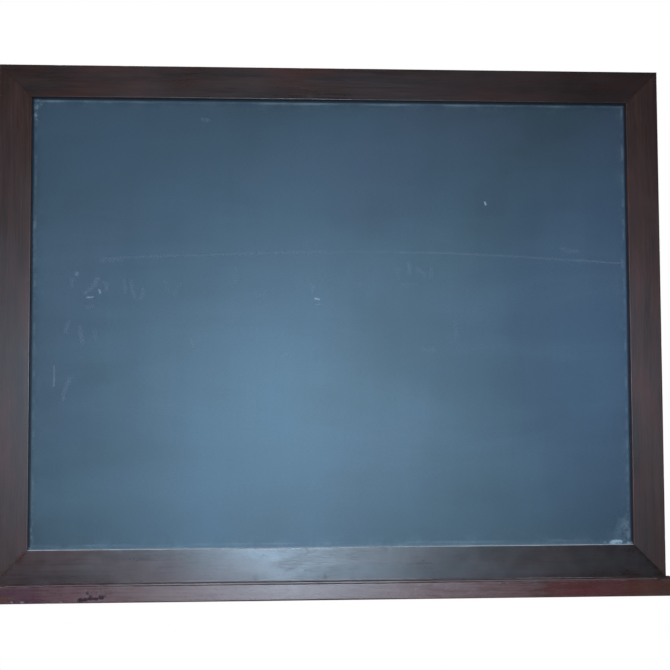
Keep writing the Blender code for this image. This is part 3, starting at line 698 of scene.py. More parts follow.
def make_metal_group():
    """Drawn or rolled metal with lines along X, dull patches and fine scratches."""
    tones = {"Pale": ZINC_PALE, "Dull": ZINC_DULL}
    given = new_group("worked_metal", {"Vector": None, **tones, "Low": 0.25, "High": 0.5})
    place = given["Vector"]
    lines = noise_of(place, (9.0, 1500.0, 1500.0), 3.0, 0.6)
    tarnish = spread(noise_of(place, 55.0, 6.0, 0.62, 0.4), 0.38, 0.68)
    spots = spread(noise_of(place, 620.0, 3.0), 0.60, 0.74)
    colour = blend(tarnish * 0.75, given["Pale"], given["Dull"])
    colour = blend(spots * 0.35, colour, given["Dull"])
    rough = between(tarnish * 0.6 + lines * 0.4, given["Low"], given["High"])
    return hand_out(given, {"Color": colour, "Roughness": rough, "Height": lines - spots * 0.3})


GRAIN = make_grain_group()
WEAR = make_wear_group()
DUST = make_dust_group()
SMUDGE = make_smudge_group()
METAL = make_metal_group()


# Materials

def new_material(name):
    """A material, and the place on the piece that it covers."""
    material = bpy.data.materials.new(name)
    material.use_nodes = True
    return material, add(material.node_tree, "ShaderNodeTexCoord")["Object"]


def surface(material, values, height=None, strength=0.0, relief=0.0):
    """Give the shader its values and, where there is a height, its fine relief."""
    tree = material.node_tree
    shader = tree.nodes["Principled BSDF"]
    for name, value in values.items():
        feed(shader.inputs[name], value)
    if height is not None:
        bump = {"Height": height, "Strength": strength, "Distance": relief}
        feed(shader.inputs["Normal"], add(tree, "ShaderNodeBump", bump)["Normal"])
    return material


def column_place(column):
    """Where along the ledge's face a column of the photograph lies."""
    return photo_point((column, LEDGE_ROW), LEDGE_LOW.y).x


def region(across, columns):
    """A mask along the ledge, from the photograph's columns where it begins, is full, fades and ends."""
    return band(across, *(column_place(column) for column in columns))


def uneven_stain(place, along, colour, streaks, regions):
    """Stain that took unevenly along a piece, with painted light and shade in some regions: each region has
    its columns, its colour and its strength.
    """
    ragged = noise_of(along, (9.0, 60.0, 60.0), 4.0, 0.6, 1.2)
    shifted = parts_of(place)["X"] + (ragged - 0.5) * STAIN_WANDER
    streaked = spread(streaks, 0.34, 0.62, 0.55, 1.0)
    for columns, tone, strength in regions:
        colour = blend(region(shifted, columns) * streaked * strength, colour, tone)
    return colour


def foot_dust_and_light(place):
    """Chalk dust and painted light on the bottom rail's last few millimetres above the ledge, where the
    ledge shades the low lamp.
    """
    parts = parts_of(place)
    low, high = FOOT_DUST_AND_LIGHT_HEIGHTS
    near = spread(parts["Z"], BOTTOM_LOW.z + high, BOTTOM_LOW.z + low)
    cloud = spread(noise_of(place, (12.0, 60.0, 60.0)), 0.34, 0.66, 0.7, 1.1)
    return region(parts["X"], DUST_AND_LIGHT_COLUMNS) * near * cloud * FOOT_DUST_AND_LIGHT_SHARE


def groove_bed(place):
    """The groove below the ledge's top, behind its front land and above the screws' counterbores."""
    parts = parts_of(place)
    low = spread(parts["Z"], LEDGE_HIGH.z - LAND_DEPTH, LEDGE_HIGH.z - BED_DEPTH)
    behind = spread(parts["Y"], LEDGE_LOW.y + LAND_WIDTH / 2, LEDGE_LOW.y + LAND_WIDTH)
    bore_top = LEDGE_LOW.z + COUNTERBORE_DEPTH
    return low * behind * spread(parts["Z"], bore_top, bore_top + BED_DEPTH)


def bed_dust(place):
    """How thickly chalk dust lies in the groove, from place to place."""
    clump = spread(noise_of(place, (14.0, 60.0, 60.0), 5.0, 0.6), 0.34, 0.66, 0.65, 1.0)
    dusty = region(parts_of(place)["X"], DUST_AND_LIGHT_COLUMNS)
    return clump * (dusty * BED_DUST_SHARE + BED_DUST_LEAST_SHARE)


def wood_material(name, turn, offset, tones, warmth, look, dusting):
    """Satin stained wood: grain along X, or along Z when turned; its back is dull and thinly stained."""
    material, place = new_material(name)
    gloss, sheen, pull, edge_dulling, top_dulling = look
    settled, film, dust_tone, coat = dusting
    deep, brown, red = tones
    along = mapped(place, (1, 1, 1), offset, (0, turn, 0))
    grain = use(GRAIN, along, deep=deep, middle=brown, warm=red, warmth=warmth)
    wear = attribute(place.tree, "wear")
    worn = use(WEAR, place, wear=wear, amount=0.62, scale=130.0)["Mask"]
    bed = groove_bed(place) if name == "ledge_wood" else None
    if bed:
        settled = spread(bed, 0.0, 1.0, *settled)
    dust = use(DUST, place, settled=settled, film=film, scale=30.0)
    smudge = use(SMUDGE, mapped(along, (0.35, 1, 1)), low=gloss[0], high=gloss[1])
    faces = facing(place.tree)
    rear = spread(faces["Y"], 0.4, 0.8)
    # What faces down is painted darker (painted shade) and made rougher
    under = spread(faces["Z"], -0.45, -0.85)
    upward = spread(faces["Z"], 0.35, 0.85)
    thin = spread(noise_of(along, (4.0, 60.0, 60.0)), 0.42, 0.62)
    ragged = spread(noise_of(place, 420.0, 3.0), 0.36, 0.52, 0.60, 1.0)
    knocked = attribute(place.tree, "knock") * ragged
    layers = [
        (rear * thin * 0.38, BARE_WOOD),
        (worn * 0.55, STAIN_WORN),
        (knocked, KNOCK_DARK),
        (under * 0.80, UNDERSIDE_SHADE),
    ]
    # The bottom rail's foot above the ledge is lightened: chalk dust and painted light
    if name == "bottom_rail_wood":
        layers.append((foot_dust_and_light(place), CREASE_DUST_AND_LIGHT))
    # A pale coat on what faces up: dust, and on the bottom rail's lip a painted highlight
    if coat:
        layers.append((upward * coat, dust_tone))
    layers.append((dust["Mask"], dust_tone))
    rough = smudge["Roughness"] + grain["Pores"] * 0.10
    if bed:
        layers.append((bed * bed_dust(place), CREASE_DUST_AND_LIGHT))
        polished = spread(parts_of(place)["X"], *(column_place(column) for column in POLISHED_COLUMNS))
        rough = rough + bed * 0.50 - polished * 0.07
    colour = grain["Color"]
    if name in UNEVEN_STAIN:
        colour = uneven_stain(place, along, colour, grain["Streaks"], UNEVEN_STAIN[name])
    for cover, tone in layers:
        colour = blend(cover, colour, tone)
    rough = rough + upward * top_dulling + (grain["Streaks"] - 0.5) * 0.09 + rear * 0.30
    rough = rough + maths("MAXIMUM", knocked, under) * 0.62
    if edge_dulling:
        rough = rough + wear * edge_dulling
    values = {
        "Base Color": colour,
        "Roughness": held(rough + dust["Mask"] * 0.45),
        "Specular IOR Level": sheen,
        "Specular Tint": LEDGE_TINT if name == "ledge_wood" else BLUE_SHEEN,
        "Anisotropic": pull,
    }
    if pull:
        tangent = add(place.tree, "ShaderNodeTangent", direction_type="UV_MAP", uv_map=ACROSS_MAP)
        values["Tangent"] = tangent["Tangent"]
    return surface(material, values, grain["Height"] + dust["Height"] * 0.5, 0.20, WOOD_RELIEF)


def joint_material():
    """Dark finish in a crease, with chalk dust and painted light in it, more towards the right."""
    material, place = new_material("ledge_joint_line")
    across = parts_of(place)["X"]
    grain = use(GRAIN, place, deep=STAIN_DEEP, middle=STAIN_BROWN, warm=LEDGE_BROWN)
    clump = spread(noise_of(place, (60.0, 200.0, 200.0)), 0.36, 0.64, 0.4, 1.0)
    # Chalk dust in the crease, partly painted light that lifts its shade
    dusty = region(across, DUST_AND_LIGHT_RIGHT_COLUMNS) * 0.50 + region(across, DUST_AND_LIGHT_FILLED_COLUMNS) * 0.45
    amount = (dusty + 0.05) * clump
    values = {
        "Base Color": blend(amount, grain["Color"], CREASE_DUST_AND_LIGHT),
        "Roughness": spread(amount, 0.0, 0.5, 0.33, 0.9),
        "Specular Tint": BLUE_SHEEN,
        "Specular IOR Level": RAIL_SHEEN,
    }
    return surface(material, values, clump, 0.25, CREASE_RELIEF)


def edge_distance(across, middle, half):
    """How far a point of the panel lies from the nearer of two opposite edges of the opening."""
    from_middle = add(across.tree, "ShaderNodeMath", {0: across - middle}, operation="ABSOLUTE")
    return half - from_middle["Value"]


def near_spot(place, spot, reach):
    """A soft mask about a point of the sheet, given from its middle, as wide and as high as its reach."""
    wide, high = reach
    centred = mapped(place, (1 / wide, 0, 1 / high), (-spot[0] / wide, 0, -(MIDDLE_Z + spot[1]) / high))
    return spread(length_of(centred), 1.0, 0.0)


def writing_material():
    """Slate-blue enamel under a film of wiped chalk, with a painted pool of light in its lower middle and
    painted shade along the frame's lip.
    """
    material, place = new_material("writing_surface")
    parts = parts_of(place)
    broad = noise_of(place, (1.7, 1.0, 2.0), 3.0, 0.5, 0.6)
    wipes = noise_of(mapped(place, (1.5, 1.0, 5.0), (0, 0, 0), (0, 0.10, 0)), 1.0, 6.0, 0.55, 0.6)
    sweeps = noise_of(mapped(place, (3.0, 1.0, 12.0), (0.4, 0, 0.7), (0, -0.75, 0)), 1.0, 6.0, 0.62, 0.8)
    falls = noise_of(mapped(place, (22.0, 1.0, 2.2), (0.2, 0, 0.1)), 1.0, 4.0, 0.55)
    fine = noise_of(place, (160.0, 1.0, 420.0), 3.0, 0.6)
    speck = noise_of(place, 1100.0, 2.0)
    plum = spread(noise_of(mapped(place, (3.1, 1.0, 3.7), (1.3, 0, 0.8)), 1.0, 3.0), 0.48, 0.70)
    broken = spread(noise_of(place, 38.0, 5.0, 0.65), 0.42, 0.66)
    streaky = spread(noise_of(place, (7.0, 1.0, 40.0), 4.0, 0.6), 0.40, 0.66)

    # A broad pale glow in the lower middle of the sheet: chalk haze and a painted pool of light
    side = (parts["X"] - GLOW_CENTRE[0]) / GLOW_REACH[0]
    rise = (parts["Z"] - (MIDDLE_Z + GLOW_CENTRE[1])) / GLOW_REACH[1]
    haze_and_glow = maths("POWER", math.e, (side * side + rise * rise) * -1.0) * 0.345 + 0.085
    for spot, reach, amount in HAZE_AND_GLOW_PATCHES:
        haze_and_glow = haze_and_glow + near_spot(place, spot, reach) * amount
    cloud = spread(wipes * 0.30 + sweeps * 0.30 + falls * 0.15 + broad * 0.25, 0.38, 0.62, 0.78, 1.22)
    ground = blend(spread(broad, 0.36, 0.66), SLATE_DEEP, SLATE_BLUE)
    ground = blend(plum * 0.6, ground, SLATE_PLUM)
    spot, reach, amount = CLEARER_PATCH
    ground = blend(near_spot(place, spot, reach) * amount, ground, SLATE_CLEAR)
    colour = blend(haze_and_glow * cloud, ground, HAZE_AND_GLOW_BLUE)

    from_sides = edge_distance(parts["X"], 0.0, OPENING_HALF)
    from_ends = edge_distance(parts["Z"], MIDDLE_Z, OPENING_RISE)
    edge = maths("MINIMUM", from_sides, from_ends)
    top_line = band(MIDDLE_Z + OPENING_RISE - parts["Z"], *TOP_LINE)
    low_edge = spread(parts["Z"] - (MIDDLE_Z - OPENING_RISE), *FOOT_FADE)
    chalk = band(edge, *EDGE_LINE) * streaky * 0.16 + spread(edge, *RIM_FADE) * broken * 0.07
    chalk = chalk + top_line * streaky * 0.16 + top_line * 0.05 + low_edge * 0.14
    for spot, reach, amount in DUST_PATCHES:
        chalk = chalk + near_spot(place, spot, reach) * broken * amount
    chalk = held(chalk * spread(speck, 0.30, 0.62, 0.6, 1.1))
    colour = blend(chalk, colour, SHEET_DUST)
    # A dark band along the frame's lip, none along the lowest edge: painted shade
    colour = blend(spread(edge, *LIP_SHADE_FADE) * ((1.0 - low_edge) * 0.85), colour, LIP_SHADE_TONE)
    values = {
        "Base Color": dimmed(colour, spread(fine, 0.30, 0.70, 0.95, 1.05)),
        "Roughness": held(cloud * 0.06 + 0.38 + chalk * 0.45),
        "Specular IOR Level": 0.34,
        "Specular Tint": ENAMEL_TINT,
    }
    return surface(material, values, fine * 0.4 + speck * 0.5 + chalk * 1.5, 0.22, ENAMEL_RELIEF)


def chalk_material():
    """Chalk left by a stick dragged over a rough surface: broken up, and faint where it was wiped."""
    material, place = new_material("chalk_marks")
    tooth = noise_of(place, 900.0, 3.0, 0.65)
    drag = noise_of(place, (300.0, 1.0, 300.0), 4.0, 0.6)
    cover = spread(tooth * 0.6 + drag * 0.4, 0.38, 0.60, 0.70, 1.36)
    values = {
        "Alpha": held(cover * attribute(place.tree, "strength")),
        "Base Color": blend(spread(drag, 0.3, 0.7), CHALK_PALE, CHALK_WHITE),
        "Roughness": 0.95,
        "Specular IOR Level": 0.2,
    }
    return surface(material, values)


def metal_material(name, pale, dull, gloss, turn=0.0, scratches=0.30):
    """Bare or plated metal, worked along X or along Z when turned, with a little dust on it."""
    material, place = new_material(name)
    along = mapped(place, (1, 1, 1), (0, 0, 0), (0, turn, 0))
    metal = use(METAL, along, pale=pale, dull=dull, low=gloss[0], high=gloss[1])
    dust = use(DUST, place, settled=0.45, film=0.05, scale=60.0)["Mask"]
    values = {
        "Base Color": blend(dust, metal["Color"], DUST_TONE),
        "Metallic": held(1.0 - dust),
        "Roughness": held(metal["Roughness"] + dust * 0.4),
    }
    return surface(material, values, metal["Height"], scratches, METAL_RELIEF)


def rubber_material():
    """Black rubber, greyed where it was handled, under chalk dust."""
    material, place = new_material("bumper_rubber")
    smudge = use(SMUDGE, place, low=0.62, high=0.85, scale=140.0)
    dust = use(DUST, place, settled=0.7, film=0.16, scale=160.0)
    colour = blend(smudge["Mask"], RUBBER_DARK, RUBBER_GREY)
    values = {"Base Color": blend(dust["Mask"], colour, DUST_TONE), "Roughness": smudge["Roughness"]}
    return surface(material, values, noise_of(place, 1400.0, 3.0), 0.25, RUBBER_RELIEF)


def fibre_material(name, dark, light, stretch):
    """Raw board, raw wood or glue: short fibres, pressed or along an axis."""
    material, place = new_material(name)
    fibres = noise_of(place, stretch, 5.0, 0.65)
    flecks = spread(noise_of(place, 700.0, 2.0), 0.56, 0.72)
    colour = blend(spread(fibres, 0.32, 0.68), dark, light)
    values = {
        "Base Color": blend(flecks * 0.4, colour, dark),
        "Roughness": spread(fibres, 0.2, 0.8, 0.72, 0.92),
    }
    return surface(material, values, fibres, 0.4, FIBRE_RELIEF)


MEMBER_LOOKS = {node: wood_material(node + "_wood", *finish) for node, finish in MEMBER_FINISHES.items()}
LEDGE_WOOD = wood_material("ledge_wood", *LEDGE_FINISH)
JOINT_LINE = joint_material()
WRITING = writing_material()
CHALK = chalk_material()
ZINC = metal_material("plated_steel", ZINC_PALE, ZINC_DULL, (0.22, 0.48))
BAR_METAL = metal_material("bar_aluminium", ALUMINIUM_PALE, ALUMINIUM_DULL, (0.28, 0.46), 0.0, 0.45)
BACKING_METAL = metal_material("backing_aluminium", BACKING_PALE, BACKING_DULL, (0.40, 0.60), QUARTER, 0.40)
RUBBER = rubber_material()
FIBRE = fibre_material("core_fibre", FIBRE_DARK, FIBRE_LIGHT, (160.0, 160.0, 160.0))
BEECH = fibre_material("spline_beech", BEECH_DARK, BEECH_LIGHT, (120.0, 900.0, 120.0))
GLUE = fibre_material("mitre_glue", GLUE_BROWN, STAIN_DEEP, (300.0, 300.0, 300.0))


# Shape helpers

def mesh_of(shape, name):
    """A mesh from a bmesh, which is used up."""
    mesh = bpy.data.meshes.new(name)
    shape.to_mesh(mesh)
    shape.free()
    return mesh


def finish_piece(name, shape, material, body, *nodes, slot, smooth=True):
    """Turn a bmesh into a finished piece that rides on a body and stands for its CAD nodes."""
    return dress(name, mesh_of(shape, name), material, body, *nodes, slot=slot, smooth=smooth)


def dress(name, mesh, material, body, *nodes, slot, smooth=True):
    mesh.materials.clear()
    mesh.materials.append(material)
    if smooth:
        mesh.shade_smooth()
        mesh.set_sharp_from_angle(angle=SHARP_ANGLE)
    piece = shown(name, mesh)
    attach(piece, body)
    if nodes:
        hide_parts(*nodes)
    return piece


def everything(shape):
    return shape.verts[:] + shape.edges[:] + shape.faces[:]


def moved(shape, matrix):
    bmesh.ops.transform(shape, matrix=matrix, verts=shape.verts)


def merge(shape):
    bmesh.ops.remove_doubles(shape, verts=shape.verts, dist=MERGE_DISTANCE)


def face_outwards(shape):
    bmesh.ops.recalc_face_normals(shape, faces=shape.faces)


def drawn_box(low, high):
    """A box from its two corners."""
    shape = bmesh.new()
    bmesh.ops.create_cube(shape, size=1.0)
    bmesh.ops.scale(shape, vec=high - low, verts=shape.verts)
    bmesh.ops.translate(shape, vec=(high + low) / 2, verts=shape.verts)
    return shape


def extrude(shape, faces, along):
    """Draw faces out along a vector; gives the points of their new end."""
    drawn = bmesh.ops.extrude_face_region(shape, geom=faces, use_keep_orig=True)["geom"]
    end = [item for item in drawn if isinstance(item, bmesh.types.BMVert)]
    bmesh.ops.translate(shape, verts=end, vec=along)
    return end


def draw_outline(shape, outline, along):
    """A solid drawn from an outline along a vector; gives the points of its far end."""
    face = shape.faces.new([shape.verts.new(point) for point in outline])
    return extrude(shape, [face], along)


def cut_lines(shape, axis, levels):
    """Cut the mesh along planes square to an axis, to give it lines to shape."""
    normal = Vector((0, 0, 0))
    normal[axis] = 1
    for level in levels:
        bmesh.ops.bisect_plane(
            shape, geom=everything(shape), plane_co=normal * level, plane_no=normal, dist=MERGE_DISTANCE
        )


def edges_where(shape, test):
    return [edge for edge in shape.edges if all(test(vert.co) for vert in edge.verts)]


def sharp_edges(shape):
    return [edge for edge in shape.edges if edge.calc_face_angle(0) > SHARP_ANGLE]


def along_axis(edge, axis):
    span = edge.verts[1].co - edge.verts[0].co
    return abs(span[axis]) > ALONG_SHARE * span.length


def lengthwise(edges):
    return [edge for edge in edges if along_axis(edge, 0)]


def ease(shape, edges, offset, segments):
    bmesh.ops.bevel(
        shape,
        geom=edges,
        offset=offset,
        offset_type="OFFSET",
        affect="EDGES",
        segments=segments,
        profile=0.5,
        material=-1,
        clamp_overlap=True,
    )


def subdivide_along(shape, axis, step):
    long_edges = [edge for edge in shape.edges if along_axis(edge, axis)]
    longest = max(edge.calc_length() for edge in long_edges)
    chosen = [edge for edge in long_edges if edge.calc_length() > longest / 2]
    bmesh.ops.subdivide_edges(shape, edges=chosen, cuts=int(longest / step), use_grid_fill=True)


def bell(value, reach):
    """A bell that is 1 at 0 and 0 at the reach."""
    share = min(1.0, value / reach)
    return (1 - share * share) ** 2


# Frame members

def member_shape(length, outer_radius):
    """One frame member in its own place: grain along X, outer edge on z = 0, back on y = 0."""
    half = length / 2
    lip_back = LIP_DEPTH - FRAME_THICKNESS
    outline = (
        (0, 0),
        (0, -FRAME_THICKNESS),
        (MEMBER_WIDTH, -FRAME_THICKNESS),
        (MEMBER_WIDTH, lip_back),
        (RABBET_EDGE, lip_back),
        (RABBET_EDGE, 0),
    )
    shape = bmesh.new()
    draw_outline(shape, [(-half, depth, -across) for across, depth in outline], (length, 0, 0))
    arrises = lengthwise(edges_where(shape, lambda co: co.y < NEAR - FRAME_THICKNESS))
    outer = [edge for edge in arrises if edge.verts[0].co.z > -NEAR]
    inner = [edge for edge in arrises if edge.verts[0].co.z < -NEAR]
    ease(shape, inner, ARRIS_RADIUS, ARRIS_STEPS)
    ease(shape, outer, outer_radius, ARRIS_STEPS)
    ease(shape, lengthwise(edges_where(shape, lambda co: co.y > -NEAR)), BACK_ARRIS, 2)
    subdivide_along(shape, 0, SECTION_STEP)
    cut_lines(shape, 2, [-MEMBER_WIDTH * share for share in ACROSS_SHARES])
    cut_lines(shape, 2, [-outer_radius - ARRIS_MARGIN, ARRIS_RADIUS + ARRIS_MARGIN - MEMBER_WIDTH])
    for side in (-1, 1):
        bmesh.ops.bisect_plane(
            shape,
            geom=everything(shape),
            plane_co=(side * (half - MITRE_GAP), 0, 0),
            plane_no=(-side, 0, 1),
            clear_inner=True,
        )
    merge(shape)
    open_edges = [edge for edge in shape.edges if edge.is_boundary]
    bmesh.ops.holes_fill(shape, edges=open_edges, sides=0)
    face_outwards(shape)
    rims = [edge for edge in open_edges if edge.is_valid and edge.calc_face_angle(0) > SHARP_ANGLE / 2]
    ease(shape, rims, MITRE_EASE, 2)
    return shape


def arris_distance(co):
    """How far a point of a member lies from the nearer of its two front arrises."""
    outer = math.hypot(co.z, co.y + FRAME_THICKNESS)
    inner = math.hypot(co.z + MEMBER_WIDTH, co.y + FRAME_THICKNESS)
    return min(outer, inner)


def mitre_distance(co, length):
    """How far a point of a member lies from the nearer of its two mitred ends."""
    return max(0.0, (length / 2 - MITRE_GAP - abs(co.x) + co.z) / math.sqrt(2))


def weather(shape, seed, wear_of, calm_of, lines, length):
    """Plane marks, dents along the given lines, and the attributes that the finish reads."""
    rng = random.Random(seed)
    wear = shape.verts.layers.float.new("wear")
    knock = shape.verts.layers.float.new("knock")
    shape.normal_update()
    dents = []
    for count in range(DENT_COUNT):
        line = lines[count % len(lines)]
        spot = Vector((rng.uniform(-length / 2, length / 2), line[0], line[1]))
        dents.append((spot, rng.uniform(*DENT_RADIUS), rng.uniform(*DENT_DEPTH)))
    shift = Vector([seed * share for share in SEED_SHIFT_SHARES])
    for vert in shape.verts:
        co = vert.co.copy()
        vert[wear] = wear_of(co)
        slow = noise.noise(Vector((co.x / PLANING_WAVE, co.y / MEMBER_WIDTH, co.z / MEMBER_WIDTH)) + shift)
        depth = PLANING_DEPTH * (0.5 + 0.5 * slow)
        for spot, radius, sink in dents:
            away = (co - spot).length
            if away < radius:
                press = bell(away, radius)
                depth += sink * press
                vert[knock] = max(vert[knock], press * DENT_SHADE)
                vert[wear] = min(1.0, vert[wear] + press * DENT_WEAR)
        vert.co = co - vert.normal * depth * calm_of(co)


def map_across(shape):
    """A UV map whose U runs across the grain, for the sheen that lies across it."""
    layer = shape.loops.layers.uv.new(ACROSS_MAP)
    for face in shape.faces:
        for loop in face.loops:
            co = loop.vert.co
            loop[layer].uv = (co.z + SIDE_SHARE * co.y, co.x)


def build_members():
    """The four rails and stiles, each from its CAD node's place."""
    places = (
        ("top_rail", 2 * HALF_WIDTH, (0, FRAME_BACK, TOP_HIGH.z), 0, 11),
        ("right_stile", 2 * HALF_HEIGHT, (HALF_WIDTH, FRAME_BACK, MIDDLE_Z), QUARTER, 23),
        ("bottom_rail", 2 * HALF_WIDTH, (0, FRAME_BACK, BOTTOM_LOW.z), 2 * QUARTER, 39),
        ("left_stile", 2 * HALF_HEIGHT, (-HALF_WIDTH, FRAME_BACK, MIDDLE_Z), -QUARTER, 41),
    )
    lines = ((-FRAME_THICKNESS, 0), (-FRAME_THICKNESS, -MEMBER_WIDTH))
    for node, length, place, turn, seed in places:
        shape = member_shape(length, LEDGE_SIDE_ARRIS if node == "bottom_rail" else ARRIS_RADIUS)
        wear_of = lambda co: bell(arris_distance(co), WEAR_REACH)
        calm_of = lambda co: 1 - bell(mitre_distance(co, length), MITRE_CALM)
        weather(shape, seed, wear_of, calm_of, lines, length)
        map_across(shape)
        moved(shape, Matrix.Translation(place) @ Matrix.Rotation(turn, 4, "Y"))
        finish_piece(node + "_wood", shape, MEMBER_LOOKS[node], "board", node, slot="frame_wood")


def build_mitre_glue():
    """The stained glue line that fills each mitre, just below the members' faces."""
    back = -GLUE_SETBACK
    front = GLUE_SETBACK - FRAME_THICKNESS
    lip_back = LIP_DEPTH - GLUE_SETBACK - FRAME_THICKNESS
    lip_edge = MEMBER_WIDTH - GLUE_SETBACK
    rabbet = RABBET_EDGE - GLUE_SETBACK
    outline = (
        (GLUE_SETBACK, back),
        (GLUE_SETBACK, front),
        (lip_edge, front),
        (lip_edge, lip_back),
        (rabbet, lip_back),
        (rabbet, back),
    )
    low = -GLUE_THICKNESS / 2
    away = Vector((0, 1, 0))
    for side in (-1, 1):
        for end in (-1, 1):
            shape = bmesh.new()
            points = [(math.sqrt(2) * across, depth, low) for across, depth in outline]
            draw_outline(shape, points, (0, 0, GLUE_THICKNESS))
            ease(shape, shape.edges[:], GLUE_THICKNESS / 5, 1)
            inward = Vector((-side, 0, -end)).normalized()
            turn = Matrix((inward, away, inward.cross(away))).transposed().to_4x4()
            spot = (side * HALF_WIDTH, FRAME_BACK, MIDDLE_Z + end * HALF_HEIGHT)
            moved(shape, Matrix.Translation(spot) @ turn)
            face_outwards(shape)
            name = "mitre_glue_" + ("top" if end > 0 else "bottom") + ("_right" if side > 0 else "_left")
            finish_piece(name, shape, GLUE, "board", slot="frame_wood")


# Turned and cut shapes

def cut_away(name, blank, cutters):
    """The mesh with the cutters' shapes taken out of it."""
    piece = shown(name + "_blank", blank)
    tools = [shown(name + "_tool", mesh_of(shape, name + "_tool")) for shape in cutters]
    for tool in tools:
        cut = piece.modifiers.new("cut", "BOOLEAN")
        cut.operation = "DIFFERENCE"
        cut.solver = "EXACT"
        cut.object = tool
    bpy.context.view_layer.update()
    graph = bpy.context.evaluated_depsgraph_get()
    made = bpy.data.meshes.new_from_object(piece.evaluated_get(graph))
    made.name = name
    for item in [piece] + tools:
        bpy.data.objects.remove(item, do_unlink=True)
    return made


def turned(profile, steps=TURNED_STEPS):
    """A body spun round Z from (radius, height) points that begin and end on the axis."""
    shape = bmesh.new()
    verts = [shape.verts.new((radius, 0, height)) for radius, height in profile]
    edges = [shape.edges.new(pair) for pair in zip(verts, verts[1:])]
    bmesh.ops.spin(
        shape,
        geom=verts + edges,
        cent=(0, 0, 0),
        axis=(0, 0, 1),
        angle=FULL_TURN,
        steps=steps,
        use_merge=True,
    )
    merge(shape)
    face_outwards(shape)
    return shape


# Chalk ledge

def groove_depth(co, groove_y, half):
    """Depth of the round-nosed groove under a point of the ledge's top."""
    along = max(-half, min(half, co.x))
    away = math.hypot(co.x - along, co.y - groove_y)
    if away >= GROOVE_RADIUS:
        return 0.0
    return math.sqrt(GROOVE_RADIUS * GROOVE_RADIUS - away * away)


def ledge_blank(groove_y, half):
    """The ledge's eased block, with the lines that its groove and its knocks are shaped on."""
    shape = drawn_box(LEDGE_LOW, LEDGE_HIGH)
    front_top = lambda co: co.y < LEDGE_LOW.y + NEAR and co.z > LEDGE_HIGH.z - NEAR
    ease(shape, edges_where(shape, front_top), LEDGE_TOP_RADIUS, 5)
    front_foot = lambda co: co.y < LEDGE_LOW.y + NEAR and co.z < LEDGE_LOW.z + NEAR
    ease(shape, edges_where(shape, front_foot), LEDGE_FOOT_EASE, 3)
    back = lambda co: co.y > LEDGE_HIGH.y - NEAR
    ease(shape, lengthwise(edges_where(shape, back)), LEDGE_EDGE_EASE, 2)
    ends = [edge for edge in sharp_edges(shape) if not along_axis(edge, 0)]
    ease(shape, ends, LEDGE_EDGE_EASE, 3)
    subdivide_along(shape, 0, SECTION_STEP)
    swing = [math.pi * step / GROOVE_LINES for step in range(GROOVE_LINES + 1)]
    cut_lines(shape, 1, [groove_y + GROOVE_RADIUS * math.cos(angle) for angle in swing])
    for side in (-1, 1):
        nose = [side * (half + GROOVE_RADIUS * math.sin(angle)) for angle in swing[: GROOVE_LINES // 2 + 1]]
        cut_lines(shape, 0, nose)
    cut_lines(shape, 2, [LEDGE_LOW.z + (LEDGE_HIGH.z - LEDGE_LOW.z) * share for share in ACROSS_SHARES])
    cut_lines(shape, 1, [LEDGE_LOW.y + LEDGE_FOOT_EASE * 3, LEDGE_LOW.y + LEDGE_TOP_RADIUS + ARRIS_MARGIN])
    cut_lines(shape, 2, [LEDGE_HIGH.z - LEDGE_TOP_RADIUS - ARRIS_MARGIN])
    first, last = (column_place(column) for column in CHIP_CUT_ENDS)
    steps = int((last - first) / CHIP_CUT_STEP)
    cut_lines(shape, 0, [first + CHIP_CUT_STEP * step for step in range(steps)])
    rows = range(1, CHIP_CUT_ROWS + 1)
    cut_lines(shape, 2, [LEDGE_LOW.z + LEDGE_FOOT_EASE + CHIP_CUT_STEP * row for row in rows])
    return shape


def knock_foot(shape):
    """Press the chips into the ledge's foot and darken them."""
    knock = shape.verts.layers.float["knock"]
    for pixel, radius, depth, shade in FOOT_CHIPS:
        chip = photo_point(pixel, LEDGE_LOW.y)
        spot = Vector((chip.x, LEDGE_LOW.y, max(chip.z, LEDGE_LOW.z)))
        for vert in shape.verts:
            span = vert.co - spot
            away = math.hypot(span.x * CHIP_NARROWING, span.y, span.z)
            if away < radius:
                press = bell(away, radius)
                vert.co += CHIP_SLANT * (depth * press)
                vert[knock] = max(vert[knock], shade * min(1.0, KNOCK_SPREAD * math.sqrt(press)))


def build_ledge():
    """The chalk ledge: eased edges, a round-nosed groove, a knocked foot and counterbored screw holes."""
    groove_y = LEDGE_LOW.y + GROOVE_SETBACK
    half = LEDGE_HIGH.x - GROOVE_END_MARGIN - GROOVE_RADIUS
    shape = ledge_blank(groove_y, half)
    lines = ((LEDGE_LOW.y, LEDGE_HIGH.z), (LEDGE_LOW.y, LEDGE_LOW.z))

    def ledge_wear(co):
        return bell(min(math.hypot(co.y - depth, co.z - height) for depth, height in lines), WEAR_REACH)

    weather(shape, 53, ledge_wear, lambda co: 1, lines, LEDGE_HIGH.x - LEDGE_LOW.x)
    knock_foot(shape)
    for vert in shape.verts:
        if vert.co.z > LEDGE_HIGH.z - 3 * PLANING_DEPTH:
            vert.co.z -= groove_depth(vert.co, groove_y, half)
    shape.normal_update()
    bores = []
    for number in (1, 2, 3, 4):
        low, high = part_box(f"ledge_screw_{number}")
        bore = turned([
            (0, -CUT_OVERRUN),
            (COUNTERBORE_RADIUS, -CUT_OVERRUN),
            (COUNTERBORE_RADIUS, COUNTERBORE_DEPTH),
            (0, COUNTERBORE_DEPTH),
        ])
        moved(bore, Matrix.Translation(((low.x + high.x) / 2, (low.y + high.y) / 2, LEDGE_LOW.z)))
        bores.append(bore)
    made = cut_away("chalk_ledge_wood", mesh_of(shape, "ledge"), bores)
    dress("chalk_ledge_wood", made, LEDGE_WOOD, "board", "chalk_ledge", slot="ledge_wood")


